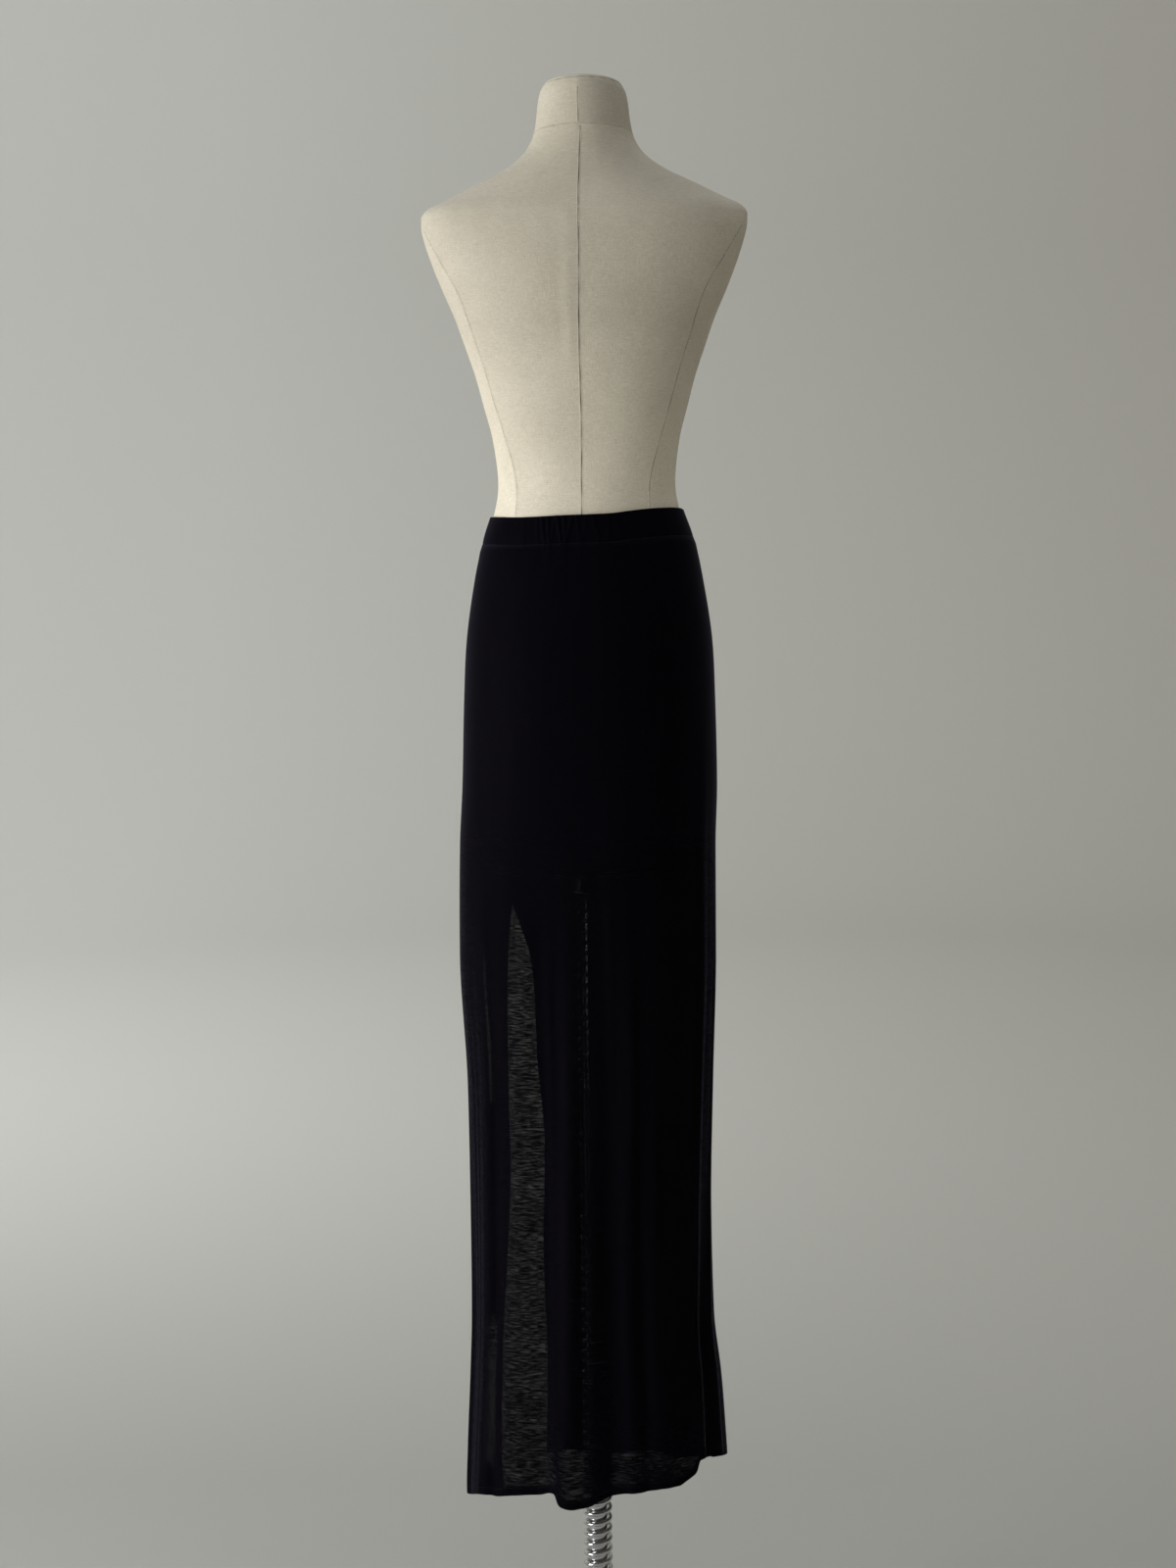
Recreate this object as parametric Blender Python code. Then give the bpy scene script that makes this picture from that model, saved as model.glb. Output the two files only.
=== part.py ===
"""A long black jersey skirt with a slit, on a limbless dress form and its stand.

Metres, +Z up. The origin is the centre of the base's underside. The front of
the garment faces -Y, its back faces +Y, and the wearer's left is at +X.
"""

import math

import bmesh
import bpy
from mathutils import Vector

# Clearance between pieces that touch
GAP = 0.0003

# Stand
BASE_RADIUS = 0.200
BASE_THICKNESS = 0.014
BASE_RIM_RADIUS = 0.006
BASE_EDGE = 0.001
BOSS_RADIUS = 0.030
BOSS_HEIGHT = 0.036
BOSS_SHOULDER = 0.008
POLE_RADIUS = 0.011
POLE_TOP = 1.127
COIL_WIRE_RADIUS = 0.0024
COIL_PITCH = 0.0124
COIL_SIDES_PER_TURN = 8
COIL_START = 0.056
COIL_END = 1.118
COLLAR_BORE_RADIUS = 0.0178
COLLAR_RADIUS = 0.026
COLLAR_HEIGHT = 0.026
SCREW_SHANK_RADIUS = 0.004
SCREW_SHANK_LENGTH = 0.016
SCREW_KNOB_RADIUS = 0.011
SCREW_KNOB_LENGTH = 0.012

# Dress form
FORM_UNDERSIDE = 0.987
FORM_BORE_RADIUS = 0.020
FORM_BORE_TOP = 1.240
FORM_COLUMNS = 36
WEDGE_COLUMNS = 9
NECK_TOP = 1.8520
NECK_TILT = 0.19
NECK_TILT_LOW = 1.7700
BUST_HEIGHT = 1.598
BUST_APART = 0.150
BUST_RADIUS = 0.052
BUST_DEPTH = 0.020

# Skirt
CLOTH = 0.0012
BAND_CLOTH = 0.0024
BAND_LEVEL = 1.3852
BAND_HEIGHT = 0.0300
SLIT_TOP = 0.9330
SLIT_SEAM_ANGLE = -50.7
SIDE_SEAM_LEFT = 0.0
SIDE_SEAM_RIGHT = 180.0
GATHER_COUNT = 9
GATHER_DEPTH = 0.0011
GATHER_FIRST_ANGLE = 64.0
GATHER_LAST_ANGLE = 118.0

# Dress form sections: height, half width, depth behind the axis, depth before it, squareness
FORM_SECTIONS = (
    (0.9870, 0.1200, 0.0880, 0.0780, 2.12),
    (0.9930, 0.1262, 0.0945, 0.0840, 2.12),
    (1.0500, 0.1340, 0.1035, 0.0905, 2.12),
    (1.1200, 0.1378, 0.1110, 0.0940, 2.12),
    (1.1830, 0.1382, 0.1130, 0.0955, 2.12),
    (1.2500, 0.1335, 0.1100, 0.0920, 2.12),
    (1.3160, 0.1236, 0.0992, 0.0870, 2.12),
    (1.3580, 0.1130, 0.0890, 0.0822, 2.12),
    (1.3860, 0.1050, 0.0818, 0.0792, 2.12),
    (1.4090, 0.1000, 0.0775, 0.0778, 2.12),
    (1.4300, 0.0990, 0.0755, 0.0780, 2.25),
    (1.4740, 0.1047, 0.0765, 0.0830, 2.4),
    (1.5070, 0.1132, 0.0800, 0.0900, 2.45),
    (1.5400, 0.1218, 0.0840, 0.0970, 2.5),
    (1.5720, 0.1325, 0.0880, 0.1040, 2.5),
    (1.6040, 0.1438, 0.0912, 0.1080, 2.5),
    (1.6360, 0.1577, 0.0925, 0.1060, 2.5),
    (1.6680, 0.1700, 0.0915, 0.0980, 2.5),
    (1.7000, 0.1795, 0.0870, 0.0850, 2.45),
    (1.7150, 0.1802, 0.0825, 0.0750, 2.35),
    (1.7240, 0.1730, 0.0785, 0.0690, 2.25),
    (1.7320, 0.1560, 0.0745, 0.0640, 2.15),
    (1.7480, 0.1245, 0.0665, 0.0580, 2.0),
    (1.7630, 0.0930, 0.0590, 0.0540, 2.0),
    (1.7790, 0.0697, 0.0520, 0.0520, 2.0),
    (1.7950, 0.0578, 0.0462, 0.0515, 2.0),
    (1.8110, 0.0529, 0.0425, 0.0520, 2.0),
    (1.8360, 0.0494, 0.0393, 0.0540, 2.0),
    (1.8460, 0.0470, 0.0375, 0.0525, 2.0),
    (1.8520, 0.0435, 0.0350, 0.0495, 2.0),
)

# Neck cap sections: height over the neck's top, share of the neck's section
CAP_SECTIONS = (
    (0.0000, 0.985),
    (0.0015, 0.980),
    (0.0040, 0.850),
    (0.0065, 0.550),
    (0.0075, 0.200),
)

# Skirt sections: height, left half width (+X), right half width (-X),
# depth behind the axis, depth before it
SKIRT_SECTIONS = (
    (1.4000, 0.1062, 0.1062, 0.0842, 0.0815),
    (1.3860, 0.1088, 0.1098, 0.0852, 0.0825),
    (1.3560, 0.1180, 0.1205, 0.0935, 0.0865),
    (1.3160, 0.1270, 0.1290, 0.1040, 0.0910),
    (1.2500, 0.1370, 0.1390, 0.1150, 0.0965),
    (1.1830, 0.1412, 0.1422, 0.1175, 0.0995),
    (1.0830, 0.1450, 0.1440, 0.1120, 0.0985),
    (1.0150, 0.1490, 0.1420, 0.1075, 0.0965),
    (0.8790, 0.1510, 0.1420, 0.0995, 0.0925),
    (0.7410, 0.1440, 0.1380, 0.0945, 0.0880),
    (0.6010, 0.1430, 0.1350, 0.0910, 0.0845),
    (0.4600, 0.1440, 0.1360, 0.0880, 0.0815),
    (0.3890, 0.1470, 0.1428, 0.0870, 0.0805),
    (0.3170, 0.1510, 0.1472, 0.0865, 0.0800),
    (0.2550, 0.1540, 0.1510, 0.0865, 0.0800),
)
SKIRT_SQUARENESS = 2.15

# Waistband's top edge: angle round the skirt in degrees, height
BAND_TOPS = (
    (-180.0, 1.3922),
    (-140.0, 1.3925),
    (-90.0, 1.3900),
    (-40.0, 1.3870),
    (-8.0, 1.3856),
    (0.0, 1.3850),
    (6.0, 1.3858),
    (16.0, 1.3861),
    (38.0, 1.3859),
    (52.0, 1.3857),
    (60.0, 1.3860),
    (68.0, 1.3866),
    (81.0, 1.3876),
    (93.0, 1.3883),
    (106.0, 1.3893),
    (115.0, 1.3912),
    (126.0, 1.3931),
    (137.0, 1.3942),
    (153.0, 1.3946),
    (169.0, 1.3938),
    (180.0, 1.3922),
)

# Hem: angle round the skirt in degrees, height
HEM_HEIGHTS = (
    (-180.0, 0.2930),
    (-165.0, 0.2800),
    (-135.0, 0.2640),
    (-90.0, 0.2590),
    (-66.0, 0.2580),
    (-41.0, 0.2205),
    (-30.0, 0.2250),
    (-20.0, 0.2290),
    (-10.0, 0.2352),
    (0.0, 0.2395),
    (8.0, 0.2424),
    (16.0, 0.2474),
    (24.0, 0.2532),
    (32.0, 0.2590),
    (40.0, 0.2620),
    (44.0, 0.2626),
    (52.0, 0.2674),
    (60.0, 0.2702),
    (68.0, 0.2710),
    (75.0, 0.2768),
    (77.0, 0.2657),
    (79.5, 0.2628),
    (84.0, 0.2608),
    (88.0, 0.2622),
    (92.0, 0.2679),
    (96.0, 0.2718),
    (104.0, 0.2769),
    (112.0, 0.2778),
    (120.0, 0.2809),
    (126.0, 0.2805),
    (130.0, 0.2802),
    (134.0, 0.2829),
    (138.0, 0.2874),
    (141.5, 0.2928),
    (144.0, 0.3058),
    (148.0, 0.3067),
    (152.0, 0.3026),
    (156.0, 0.2988),
    (162.0, 0.2994),
    (168.0, 0.3000),
    (174.0, 0.2970),
    (180.0, 0.2930),
)

# Slit: height, place of the side piece's edge along X, place of the main piece's edge.
# slit_edge takes the side piece's edge as column 0 and the main piece's as column 1.
SLIT_EDGES = (
    (0.9330, 0.0985, 0.0983),
    (0.9295, 0.1003, 0.0958),
    (0.9240, 0.1011, 0.0941),
    (0.9040, 0.1027, 0.0884),
    (0.8770, 0.1048, 0.0806),
    (0.8400, 0.1061, 0.0754),
    (0.7900, 0.1066, 0.0733),
    (0.7400, 0.1058, 0.0716),
    (0.7110, 0.1057, 0.0690),
    (0.6500, 0.1045, 0.0642),
    (0.6000, 0.1055, 0.0648),
    (0.5270, 0.1099, 0.0668),
    (0.4600, 0.1147, 0.0660),
    (0.3900, 0.1168, 0.0638),
    (0.3200, 0.1182, 0.0644),
    (0.2550, 0.1185, 0.0660),
)

# Folds: angle where it starts, angle at the hem, height where it starts,
# height where it is full, depth, half width in degrees. A negative depth is a trough.
FOLDS = (
    (92.0, 86.0, 1.000, 0.360, 0.0050, 6.5),
    (86.8, 79.4, 1.120, 0.560, 0.0080, 4.2),
    (71.5, 68.5, 1.060, 0.560, -0.0042, 4.2),
    (57.0, 51.0, 1.060, 0.560, 0.0048, 7.0),
    (100.0, 99.0, 1.020, 0.440, -0.0058, 5.0),
    (105.5, 107.5, 1.180, 0.760, 0.0030, 4.6),
    (113.5, 111.5, 0.860, 0.480, -0.0035, 3.4),
    (120.5, 121.5, 1.080, 0.600, 0.0028, 5.0),
    (130.0, 132.5, 0.920, 0.420, -0.0026, 5.0),
    (154.5, 147.0, 1.200, 0.800, 0.0036, 3.6),
    (162.0, 156.5, 0.720, 0.300, -0.0115, 5.4),
    (-176.0, -176.0, 0.620, 0.300, 0.0040, 7.0),
    (40.5, 33.5, 1.120, 0.620, 0.0042, 5.0),
    (18.0, 12.0, 0.820, 0.380, -0.0040, 6.0),
    (-24.0, -20.0, 0.980, 0.480, 0.0050, 8.0),
    (-34.0, -33.0, 0.860, 0.400, -0.0035, 5.0),
    (-78.0, -76.0, 0.900, 0.450, 0.0060, 8.0),
    (-94.0, -95.0, 0.980, 0.440, -0.0055, 9.0),
    (-112.0, -110.0, 1.060, 0.500, 0.0065, 9.0),
    (-128.0, -127.0, 0.900, 0.420, -0.0050, 8.0),
    (-146.0, -143.0, 1.000, 0.480, 0.0055, 8.0),
    (-161.0, -159.0, 0.860, 0.400, -0.0045, 7.0),
)

# Steps, in degrees and metres, over which the cloth's slope is measured
ANGLE_STEP = 0.5
HEIGHT_STEP = 0.001

# Edges sharper than this are drawn sharp
SHARP_DEGREES = 40.0
ROUND_WIRE_DEGREES = 100.0

# Mesh rows and columns of the cloth, and sides of the round pieces
PANEL_ROWS = 17
BACK_COLUMNS = 42
FRONT_COLUMNS = 26
SIDE_FRONT_COLUMNS = 9
BAND_PLAIN_COLUMNS = 36
BAND_COLUMNS_PER_GATHER = 4
BAND_ROWS = 3
BASE_SIDES = 48
ROUND_SIDES = 24
SCREW_SIDES = 12


def clear_scene():
    for thing in list(bpy.data.objects):
        bpy.data.objects.remove(thing, do_unlink=True)


def make_material(name, colour, roughness, metallic=0.0):
    material = bpy.data.materials.new(name)
    material.use_nodes = True
    shader = material.node_tree.nodes["Principled BSDF"]
    shader.inputs["Base Color"].default_value = (*colour, 1.0)
    shader.inputs["Roughness"].default_value = roughness
    shader.inputs["Metallic"].default_value = metallic
    return material


def add_object(name, mesh_data, material, sharp_degrees=SHARP_DEGREES):
    """Makes a named object from a bmesh, faces out, shaded smooth but for its sharp edges."""
    bmesh.ops.recalc_face_normals(mesh_data, faces=mesh_data.faces)
    mesh = bpy.data.meshes.new(name)
    mesh_data.to_mesh(mesh)
    mesh_data.free()
    mesh.materials.append(material)
    mesh.shade_smooth()
    mesh.set_sharp_from_angle(angle=math.radians(sharp_degrees))
    thing = bpy.data.objects.new(name, mesh)
    bpy.context.scene.collection.objects.link(thing)
    return thing


def read_table(rows, place):
    """Reads a table at a place in its first column, along a smooth curve through its rows."""
    if rows[0][0] > rows[-1][0]:
        rows = rows[::-1]
    place = min(max(place, rows[0][0]), rows[-1][0])
    index = 0
    while index < len(rows) - 2 and place > rows[index + 1][0]:
        index += 1
    before = rows[max(index - 1, 0)]
    low = rows[index]
    high = rows[index + 1]
    after = rows[min(index + 2, len(rows) - 1)]
    span = high[0] - low[0]
    t = (place - low[0]) / span
    values = []
    for column in range(1, len(low)):
        slope = (high[column] - low[column]) / span
        slope_low = (high[column] - before[column]) / (high[0] - before[0])
        slope_high = (after[column] - low[column]) / (after[0] - low[0])
        slope_low = limited_slope(slope_low, slope)
        slope_high = limited_slope(slope_high, slope)
        values.append(
            low[column] * (1 + 2 * t) * (1 - t) ** 2
            + high[column] * t * t * (3 - 2 * t)
            + slope_low * span * t * (1 - t) ** 2
            + slope_high * span * t * t * (t - 1)
        )
    return values


def limited_slope(slope, chord):
    """Keeps a curve between two rows from passing beyond them."""
    if slope * chord <= 0:
        return 0.0
    return math.copysign(min(abs(slope), 3 * abs(chord)), chord)


def oval_point(angle, left, right, back, front, squareness):
    """A point of an oval whose four half axes differ, at an angle in degrees from +X."""
    across = math.cos(math.radians(angle))
    along = math.sin(math.radians(angle))
    half_width = left if across > 0 else right
    half_depth = back if along > 0 else front
    power = 2.0 / squareness
    x = half_width * math.copysign(abs(across) ** power, across)
    y = half_depth * math.copysign(abs(along) ** power, along)
    return x, y


def oval_angle(x, half_width):
    """The angle before the axis at which the skirt's oval has this place along X."""
    share = min(max(x / half_width, -1.0), 1.0)
    across = math.copysign(abs(share) ** (SKIRT_SQUARENESS / 2.0), share)
    return -math.degrees(math.acos(across))


def smooth_step(value):
    value = min(max(value, 0.0), 1.0)
    return value * value * (3.0 - 2.0 * value)


def angle_between(angle, centre):
    return (angle - centre + 180.0) % 360.0 - 180.0


def fold_height(angle, z):
    """How far the folds move the cloth out at this angle and height."""
    moved = 0.0
    for start_angle, hem_angle, start_z, full_z, depth, half_width in FOLDS:
        grown = smooth_step((start_z - z) / (start_z - full_z))
        if grown <= 0.0:
            continue
        down = min(max((start_z - z) / (start_z - SKIRT_SECTIONS[-1][0]), 0.0), 1.0)
        centre = start_angle + (hem_angle - start_angle) * down
        away = abs(angle_between(angle, centre)) / (2.0 * half_width)
        if away < 1.0:
            moved += depth * grown * math.cos(away * math.pi / 2.0) ** 2
    return moved


def skirt_point(angle, z):
    """A point on the skirt's outer side."""
    sizes = read_table(SKIRT_SECTIONS, z)
    x, y = oval_point(angle, *sizes, SKIRT_SQUARENESS)
    outward = Vector((x / sizes[0] ** 2, y / sizes[2] ** 2, 0.0)).normalized()
    return Vector((x, y, z)) + outward * fold_height(angle, z)


def band_top(angle):
    return read_table(BAND_TOPS, (angle + 180.0) % 360.0 - 180.0)[0]


def gather_height(angle, down):
    """How far the elastic's gathers raise the band, most at its lower edge."""
    if not GATHER_FIRST_ANGLE < angle < GATHER_LAST_ANGLE:
        return 0.0
    share = (angle - GATHER_FIRST_ANGLE) / (GATHER_LAST_ANGLE - GATHER_FIRST_ANGLE)
    wave = 0.5 - 0.5 * math.cos(share * GATHER_COUNT * 2.0 * math.pi)
    fade = math.sin(share * math.pi) ** 0.5
    return GATHER_DEPTH * wave * fade * (0.35 + 0.65 * down)


def surface_normal(surface, angle, z):
    """The outward normal of a surface given as a function of angle and height."""
    across = surface(angle + ANGLE_STEP, z) - surface(angle - ANGLE_STEP, z)
    upward = surface(angle, z + HEIGHT_STEP) - surface(angle, z - HEIGHT_STEP)
    normal = upward.cross(across)
    point = surface(angle, z)
    if normal.x * point.x + normal.y * point.y < 0.0:
        normal.negate()
    return normal.normalized()


def cloth_wall(name, rows, columns, place, thickness, material, closed=False):
    """Makes a wall of cloth from a grid. place(row, column) gives an outer point and a normal."""
    mesh_data = bmesh.new()
    outer = []
    inner = []
    count = columns if closed else columns + 1
    for row in range(rows + 1):
        outer_row = []
        inner_row = []
        for column in range(count):
            point, normal = place(row / rows, column / columns)
            outer_row.append(mesh_data.verts.new(point))
            inner_row.append(mesh_data.verts.new(point - normal * thickness))
        outer.append(outer_row)
        inner.append(inner_row)
    for row in range(rows):
        for column in range(columns):
            after = (column + 1) % count
            mesh_data.faces.new(
                (outer[row][column], outer[row + 1][column],
                 outer[row + 1][after], outer[row][after])
            )
            mesh_data.faces.new(
                (inner[row][after], inner[row + 1][after],
                 inner[row + 1][column], inner[row][column])
            )
    for edge_row in (0, rows):
        for column in range(columns):
            after = (column + 1) % count
            mesh_data.faces.new(
                (outer[edge_row][column], outer[edge_row][after],
                 inner[edge_row][after], inner[edge_row][column])
            )
    if not closed:
        for edge_column in (0, columns):
            for row in range(rows):
                mesh_data.faces.new(
                    (outer[row][edge_column], inner[row][edge_column],
                     inner[row + 1][edge_column], outer[row + 1][edge_column])
                )
    return add_object(name, mesh_data, material)


def make_panel(name, first_edge, last_edge, columns, material):
    """Makes one skirt panel. Each edge is a function of height that gives an angle."""
    top = BAND_LEVEL - BAND_HEIGHT
    hem_floor = SKIRT_SECTIONS[-1][0]

    def place(down, across):
        level = top + (hem_floor - top) * down
        angle = first_edge(level) + (last_edge(level) - first_edge(level)) * across
        panel_top = band_top(angle) - BAND_HEIGHT - GAP
        hem = read_table(HEM_HEIGHTS, (angle + 180.0) % 360.0 - 180.0)[0]
        z = panel_top + (hem - panel_top) * down
        return skirt_point(angle, z), surface_normal(skirt_point, angle, z)

    return cloth_wall(name, PANEL_ROWS, columns, place, CLOTH, material)


def seam(angle, side):
    """A seam's edge at a fixed angle, half a gap to one side of it."""

    def edge(z):
        depth = read_table(SKIRT_SECTIONS, z)[3]
        return angle + side * math.degrees(0.5 * GAP / depth)

    return edge


def slit_edge(column, side):
    """The slit seam down to the slit's top, and below it one of the slit's two edges."""
    closed_edge = seam(SLIT_SEAM_ANGLE, side)

    def edge(z):
        if z >= SLIT_TOP:
            return closed_edge(z)
        half_width = read_table(SKIRT_SECTIONS, z)[0]
        open_angle = oval_angle(read_table(SLIT_EDGES, z)[column], half_width)
        if side > 0:
            return max(open_angle, closed_edge(z))
        return min(open_angle, closed_edge(z))

    return edge


def make_skirt(material):
    """The waistband ring and the three panels that hang from it."""
    make_waistband(material)
    make_panel(
        "back_panel", seam(SIDE_SEAM_LEFT, 1.0), seam(SIDE_SEAM_RIGHT, -1.0),
        BACK_COLUMNS, material,
    )
    make_panel(
        "front_panel", seam(-SIDE_SEAM_RIGHT, 1.0), slit_edge(1, -1.0),
        FRONT_COLUMNS, material,
    )
    make_panel(
        "side_front_panel", slit_edge(0, 1.0), seam(SIDE_SEAM_LEFT, -1.0),
        SIDE_FRONT_COLUMNS, material,
    )


def band_angles():
    """Column angles of the band: close together at the gathers, wide apart elsewhere."""
    gathered = GATHER_COUNT * BAND_COLUMNS_PER_GATHER
    gather_span = GATHER_LAST_ANGLE - GATHER_FIRST_ANGLE
    angles = []
    for index in range(gathered):
        angles.append(GATHER_FIRST_ANGLE + gather_span * index / gathered)
    for index in range(BAND_PLAIN_COLUMNS):
        angles.append(GATHER_LAST_ANGLE + (360.0 - gather_span) * index / BAND_PLAIN_COLUMNS)
    return angles


def band_point(angle, z):
    x, y = oval_point(angle, *read_table(SKIRT_SECTIONS, z), SKIRT_SQUARENESS)
    return Vector((x, y, z))


def make_waistband(material):
    """A closed casing of cloth with the elastic's gathers at the centre back."""
    angles = band_angles()

    def place(down, across):
        angle = angles[round(across * len(angles)) % len(angles)]
        z = band_top(angle) - BAND_HEIGHT * down
        normal = surface_normal(band_point, angle, z)
        return band_point(angle, z) + normal * gather_height(angle, down), normal

    cloth_wall(
        "waistband", BAND_ROWS, len(angles), place, BAND_CLOTH, material, closed=True
    )


def loft_rings(name, rings, material, sharp_degrees=SHARP_DEGREES):
    """Makes a closed solid through rings of points and closes each end with a flat or domed fan."""
    mesh_data = bmesh.new()
    made = []
    for ring in rings:
        made.append([mesh_data.verts.new(point) for point in ring])
    for lower, upper in zip(made, made[1:]):
        for index in range(len(lower)):
            after = (index + 1) % len(lower)
            mesh_data.faces.new((lower[index], lower[after], upper[after], upper[index]))
    for end in (made[0], made[-1]):
        centre = sum((vert.co for vert in end), Vector()) / len(end)
        middle = mesh_data.verts.new(centre)
        for index in range(len(end)):
            mesh_data.faces.new((end[index], end[(index + 1) % len(end)], middle))
    return add_object(name, mesh_data, material, sharp_degrees)


def circle_ring(radius, z, count):
    return [
        Vector((
            radius * math.cos(math.tau * index / count),
            radius * math.sin(math.tau * index / count),
            z,
        ))
        for index in range(count)
    ]


def bust_depth(x, y, z):
    """How far the bust's two soft mounds stand out in front."""
    if y > 0.0:
        return 0.0
    away = math.hypot(abs(x) - 0.5 * BUST_APART, z - BUST_HEIGHT) / BUST_RADIUS
    return BUST_DEPTH * math.exp(-away * away)


def form_ring(z, share=1.0, lift=0.0):
    """One section of the dress form, or a smaller copy of it raised by lift.

    Up the neck the sections tilt more and more, with the back edge higher."""
    half_width, back, front, squareness = read_table(FORM_SECTIONS, z)
    centre_y = 0.5 * (back - front)
    tilt = NECK_TILT * smooth_step((z - NECK_TILT_LOW) / (NECK_TOP - NECK_TILT_LOW))
    ring = []
    for index in range(FORM_COLUMNS):
        angle = 360.0 * index / FORM_COLUMNS
        x, y = oval_point(angle, half_width, half_width, back, front, squareness)
        y -= bust_depth(x, y, z)
        from_centre = (y - centre_y) * share
        ring.append(Vector((x * share, centre_y + from_centre, z + lift + tilt * from_centre)))
    return ring


def diagonal_angles(half_width, back, front, squareness):
    """The angles of an oval at its four diagonals, from front left round to front left."""
    power = squareness / 2.0
    behind = math.degrees(math.atan((half_width / back) ** power))
    before = math.degrees(math.atan((half_width / front) ** power))
    return (-before, behind, 180.0 - behind, 180.0 + before, 360.0 - before)


def wedge_ring(z, wedge):
    """One section of a wedge of the form between two diagonals: its outer side, then its bore."""
    half_width, back, front, squareness = read_table(FORM_SECTIONS, z)
    diagonals = diagonal_angles(half_width, back, front, squareness)
    first = diagonals[wedge]
    last = diagonals[wedge + 1]
    outer = []
    bore = []
    for step in range(WEDGE_COLUMNS + 1):
        share = step / WEDGE_COLUMNS
        angle = first + (last - first) * share
        x, y = oval_point(angle, half_width, half_width, back, front, squareness)
        outer.append(Vector((x, y, z)))
        turn = math.radians(90.0 * (wedge + share) - 45.0)
        bore.append(
            Vector((FORM_BORE_RADIUS * math.cos(turn), FORM_BORE_RADIUS * math.sin(turn), z))
        )
    for end, side in ((0, 1), (-1, -1)):
        turn = math.radians(90.0 * wedge + 45.0 * side)
        inwards = Vector((math.cos(turn), math.sin(turn), 0.0)) * 0.5 * GAP
        outer[end] += inwards
        bore[end] += inwards
    return outer + bore[::-1]


def make_torso(material):
    """The dress form, with a blind bore for the pole up its middle.

    Above the bore it is one solid. Round the bore it is four wedges, so that
    each of its solids is full and the bore stays open between them.
    """
    heights = [section[0] for section in FORM_SECTIONS]
    upper = [FORM_BORE_TOP] + [z for z in heights if z > FORM_BORE_TOP]
    loft_rings("torso", [form_ring(z) for z in upper], material)
    lower = [z for z in heights if z < FORM_BORE_TOP] + [FORM_BORE_TOP - GAP]
    for wedge, side in enumerate(("left", "back", "right", "front")):
        loft_rings(f"hip_{side}", [wedge_ring(z, wedge) for z in lower], material)


def make_neck_cap(material):
    rings = [form_ring(NECK_TOP, share, lift + GAP) for lift, share in CAP_SECTIONS]
    loft_rings("neck_cap", rings, material)


def make_stand(chrome, black):
    """Base plate, boss, pole and the wire coil round the pole."""
    rim = BASE_RIM_RADIUS
    base_rings = [
        circle_ring(BASE_RADIUS - BASE_EDGE, 0.0, BASE_SIDES),
        circle_ring(BASE_RADIUS, BASE_EDGE, BASE_SIDES),
        circle_ring(BASE_RADIUS, BASE_THICKNESS - rim, BASE_SIDES),
        circle_ring(BASE_RADIUS - 0.3 * rim, BASE_THICKNESS - 0.3 * rim, BASE_SIDES),
        circle_ring(BASE_RADIUS - rim, BASE_THICKNESS, BASE_SIDES),
    ]
    loft_rings("base_plate", base_rings, chrome)

    foot = BASE_THICKNESS + GAP
    boss_rings = [
        circle_ring(BOSS_RADIUS, foot, ROUND_SIDES),
        circle_ring(BOSS_RADIUS, foot + BOSS_HEIGHT - BOSS_SHOULDER, ROUND_SIDES),
        circle_ring(BOSS_RADIUS - BOSS_SHOULDER, foot + BOSS_HEIGHT, ROUND_SIDES),
    ]
    loft_rings("boss", boss_rings, chrome)

    pole_foot = foot + BOSS_HEIGHT + GAP
    pole_rings = [
        circle_ring(POLE_RADIUS, pole_foot, ROUND_SIDES),
        circle_ring(POLE_RADIUS, POLE_TOP, ROUND_SIDES),
    ]
    loft_rings("pole", pole_rings, chrome)
    make_coil(chrome)
    make_collar(chrome, black)


def make_coil(material):
    """A right-handed helix of wire whose flats just clear the pole."""
    half_side = math.pi / COIL_SIDES_PER_TURN
    radius = (POLE_RADIUS + GAP + COIL_WIRE_RADIUS) / math.cos(half_side)
    turns = (COIL_END - COIL_START) / COIL_PITCH
    points = int(turns * COIL_SIDES_PER_TURN)
    rings = []
    for index in range(points + 1):
        angle = math.tau * index / COIL_SIDES_PER_TURN
        outward = Vector((math.cos(angle), math.sin(angle), 0.0))
        centre = outward * radius
        centre.z = COIL_START + COIL_PITCH * index / COIL_SIDES_PER_TURN
        upward = Vector((0.0, 0.0, 1.0))
        rings.append([
            centre + outward * COIL_WIRE_RADIUS,
            centre + upward * COIL_WIRE_RADIUS,
            centre - outward * COIL_WIRE_RADIUS,
            centre - upward * COIL_WIRE_RADIUS,
        ])
    loft_rings("coil", rings, material, ROUND_WIRE_DEGREES)


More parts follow.
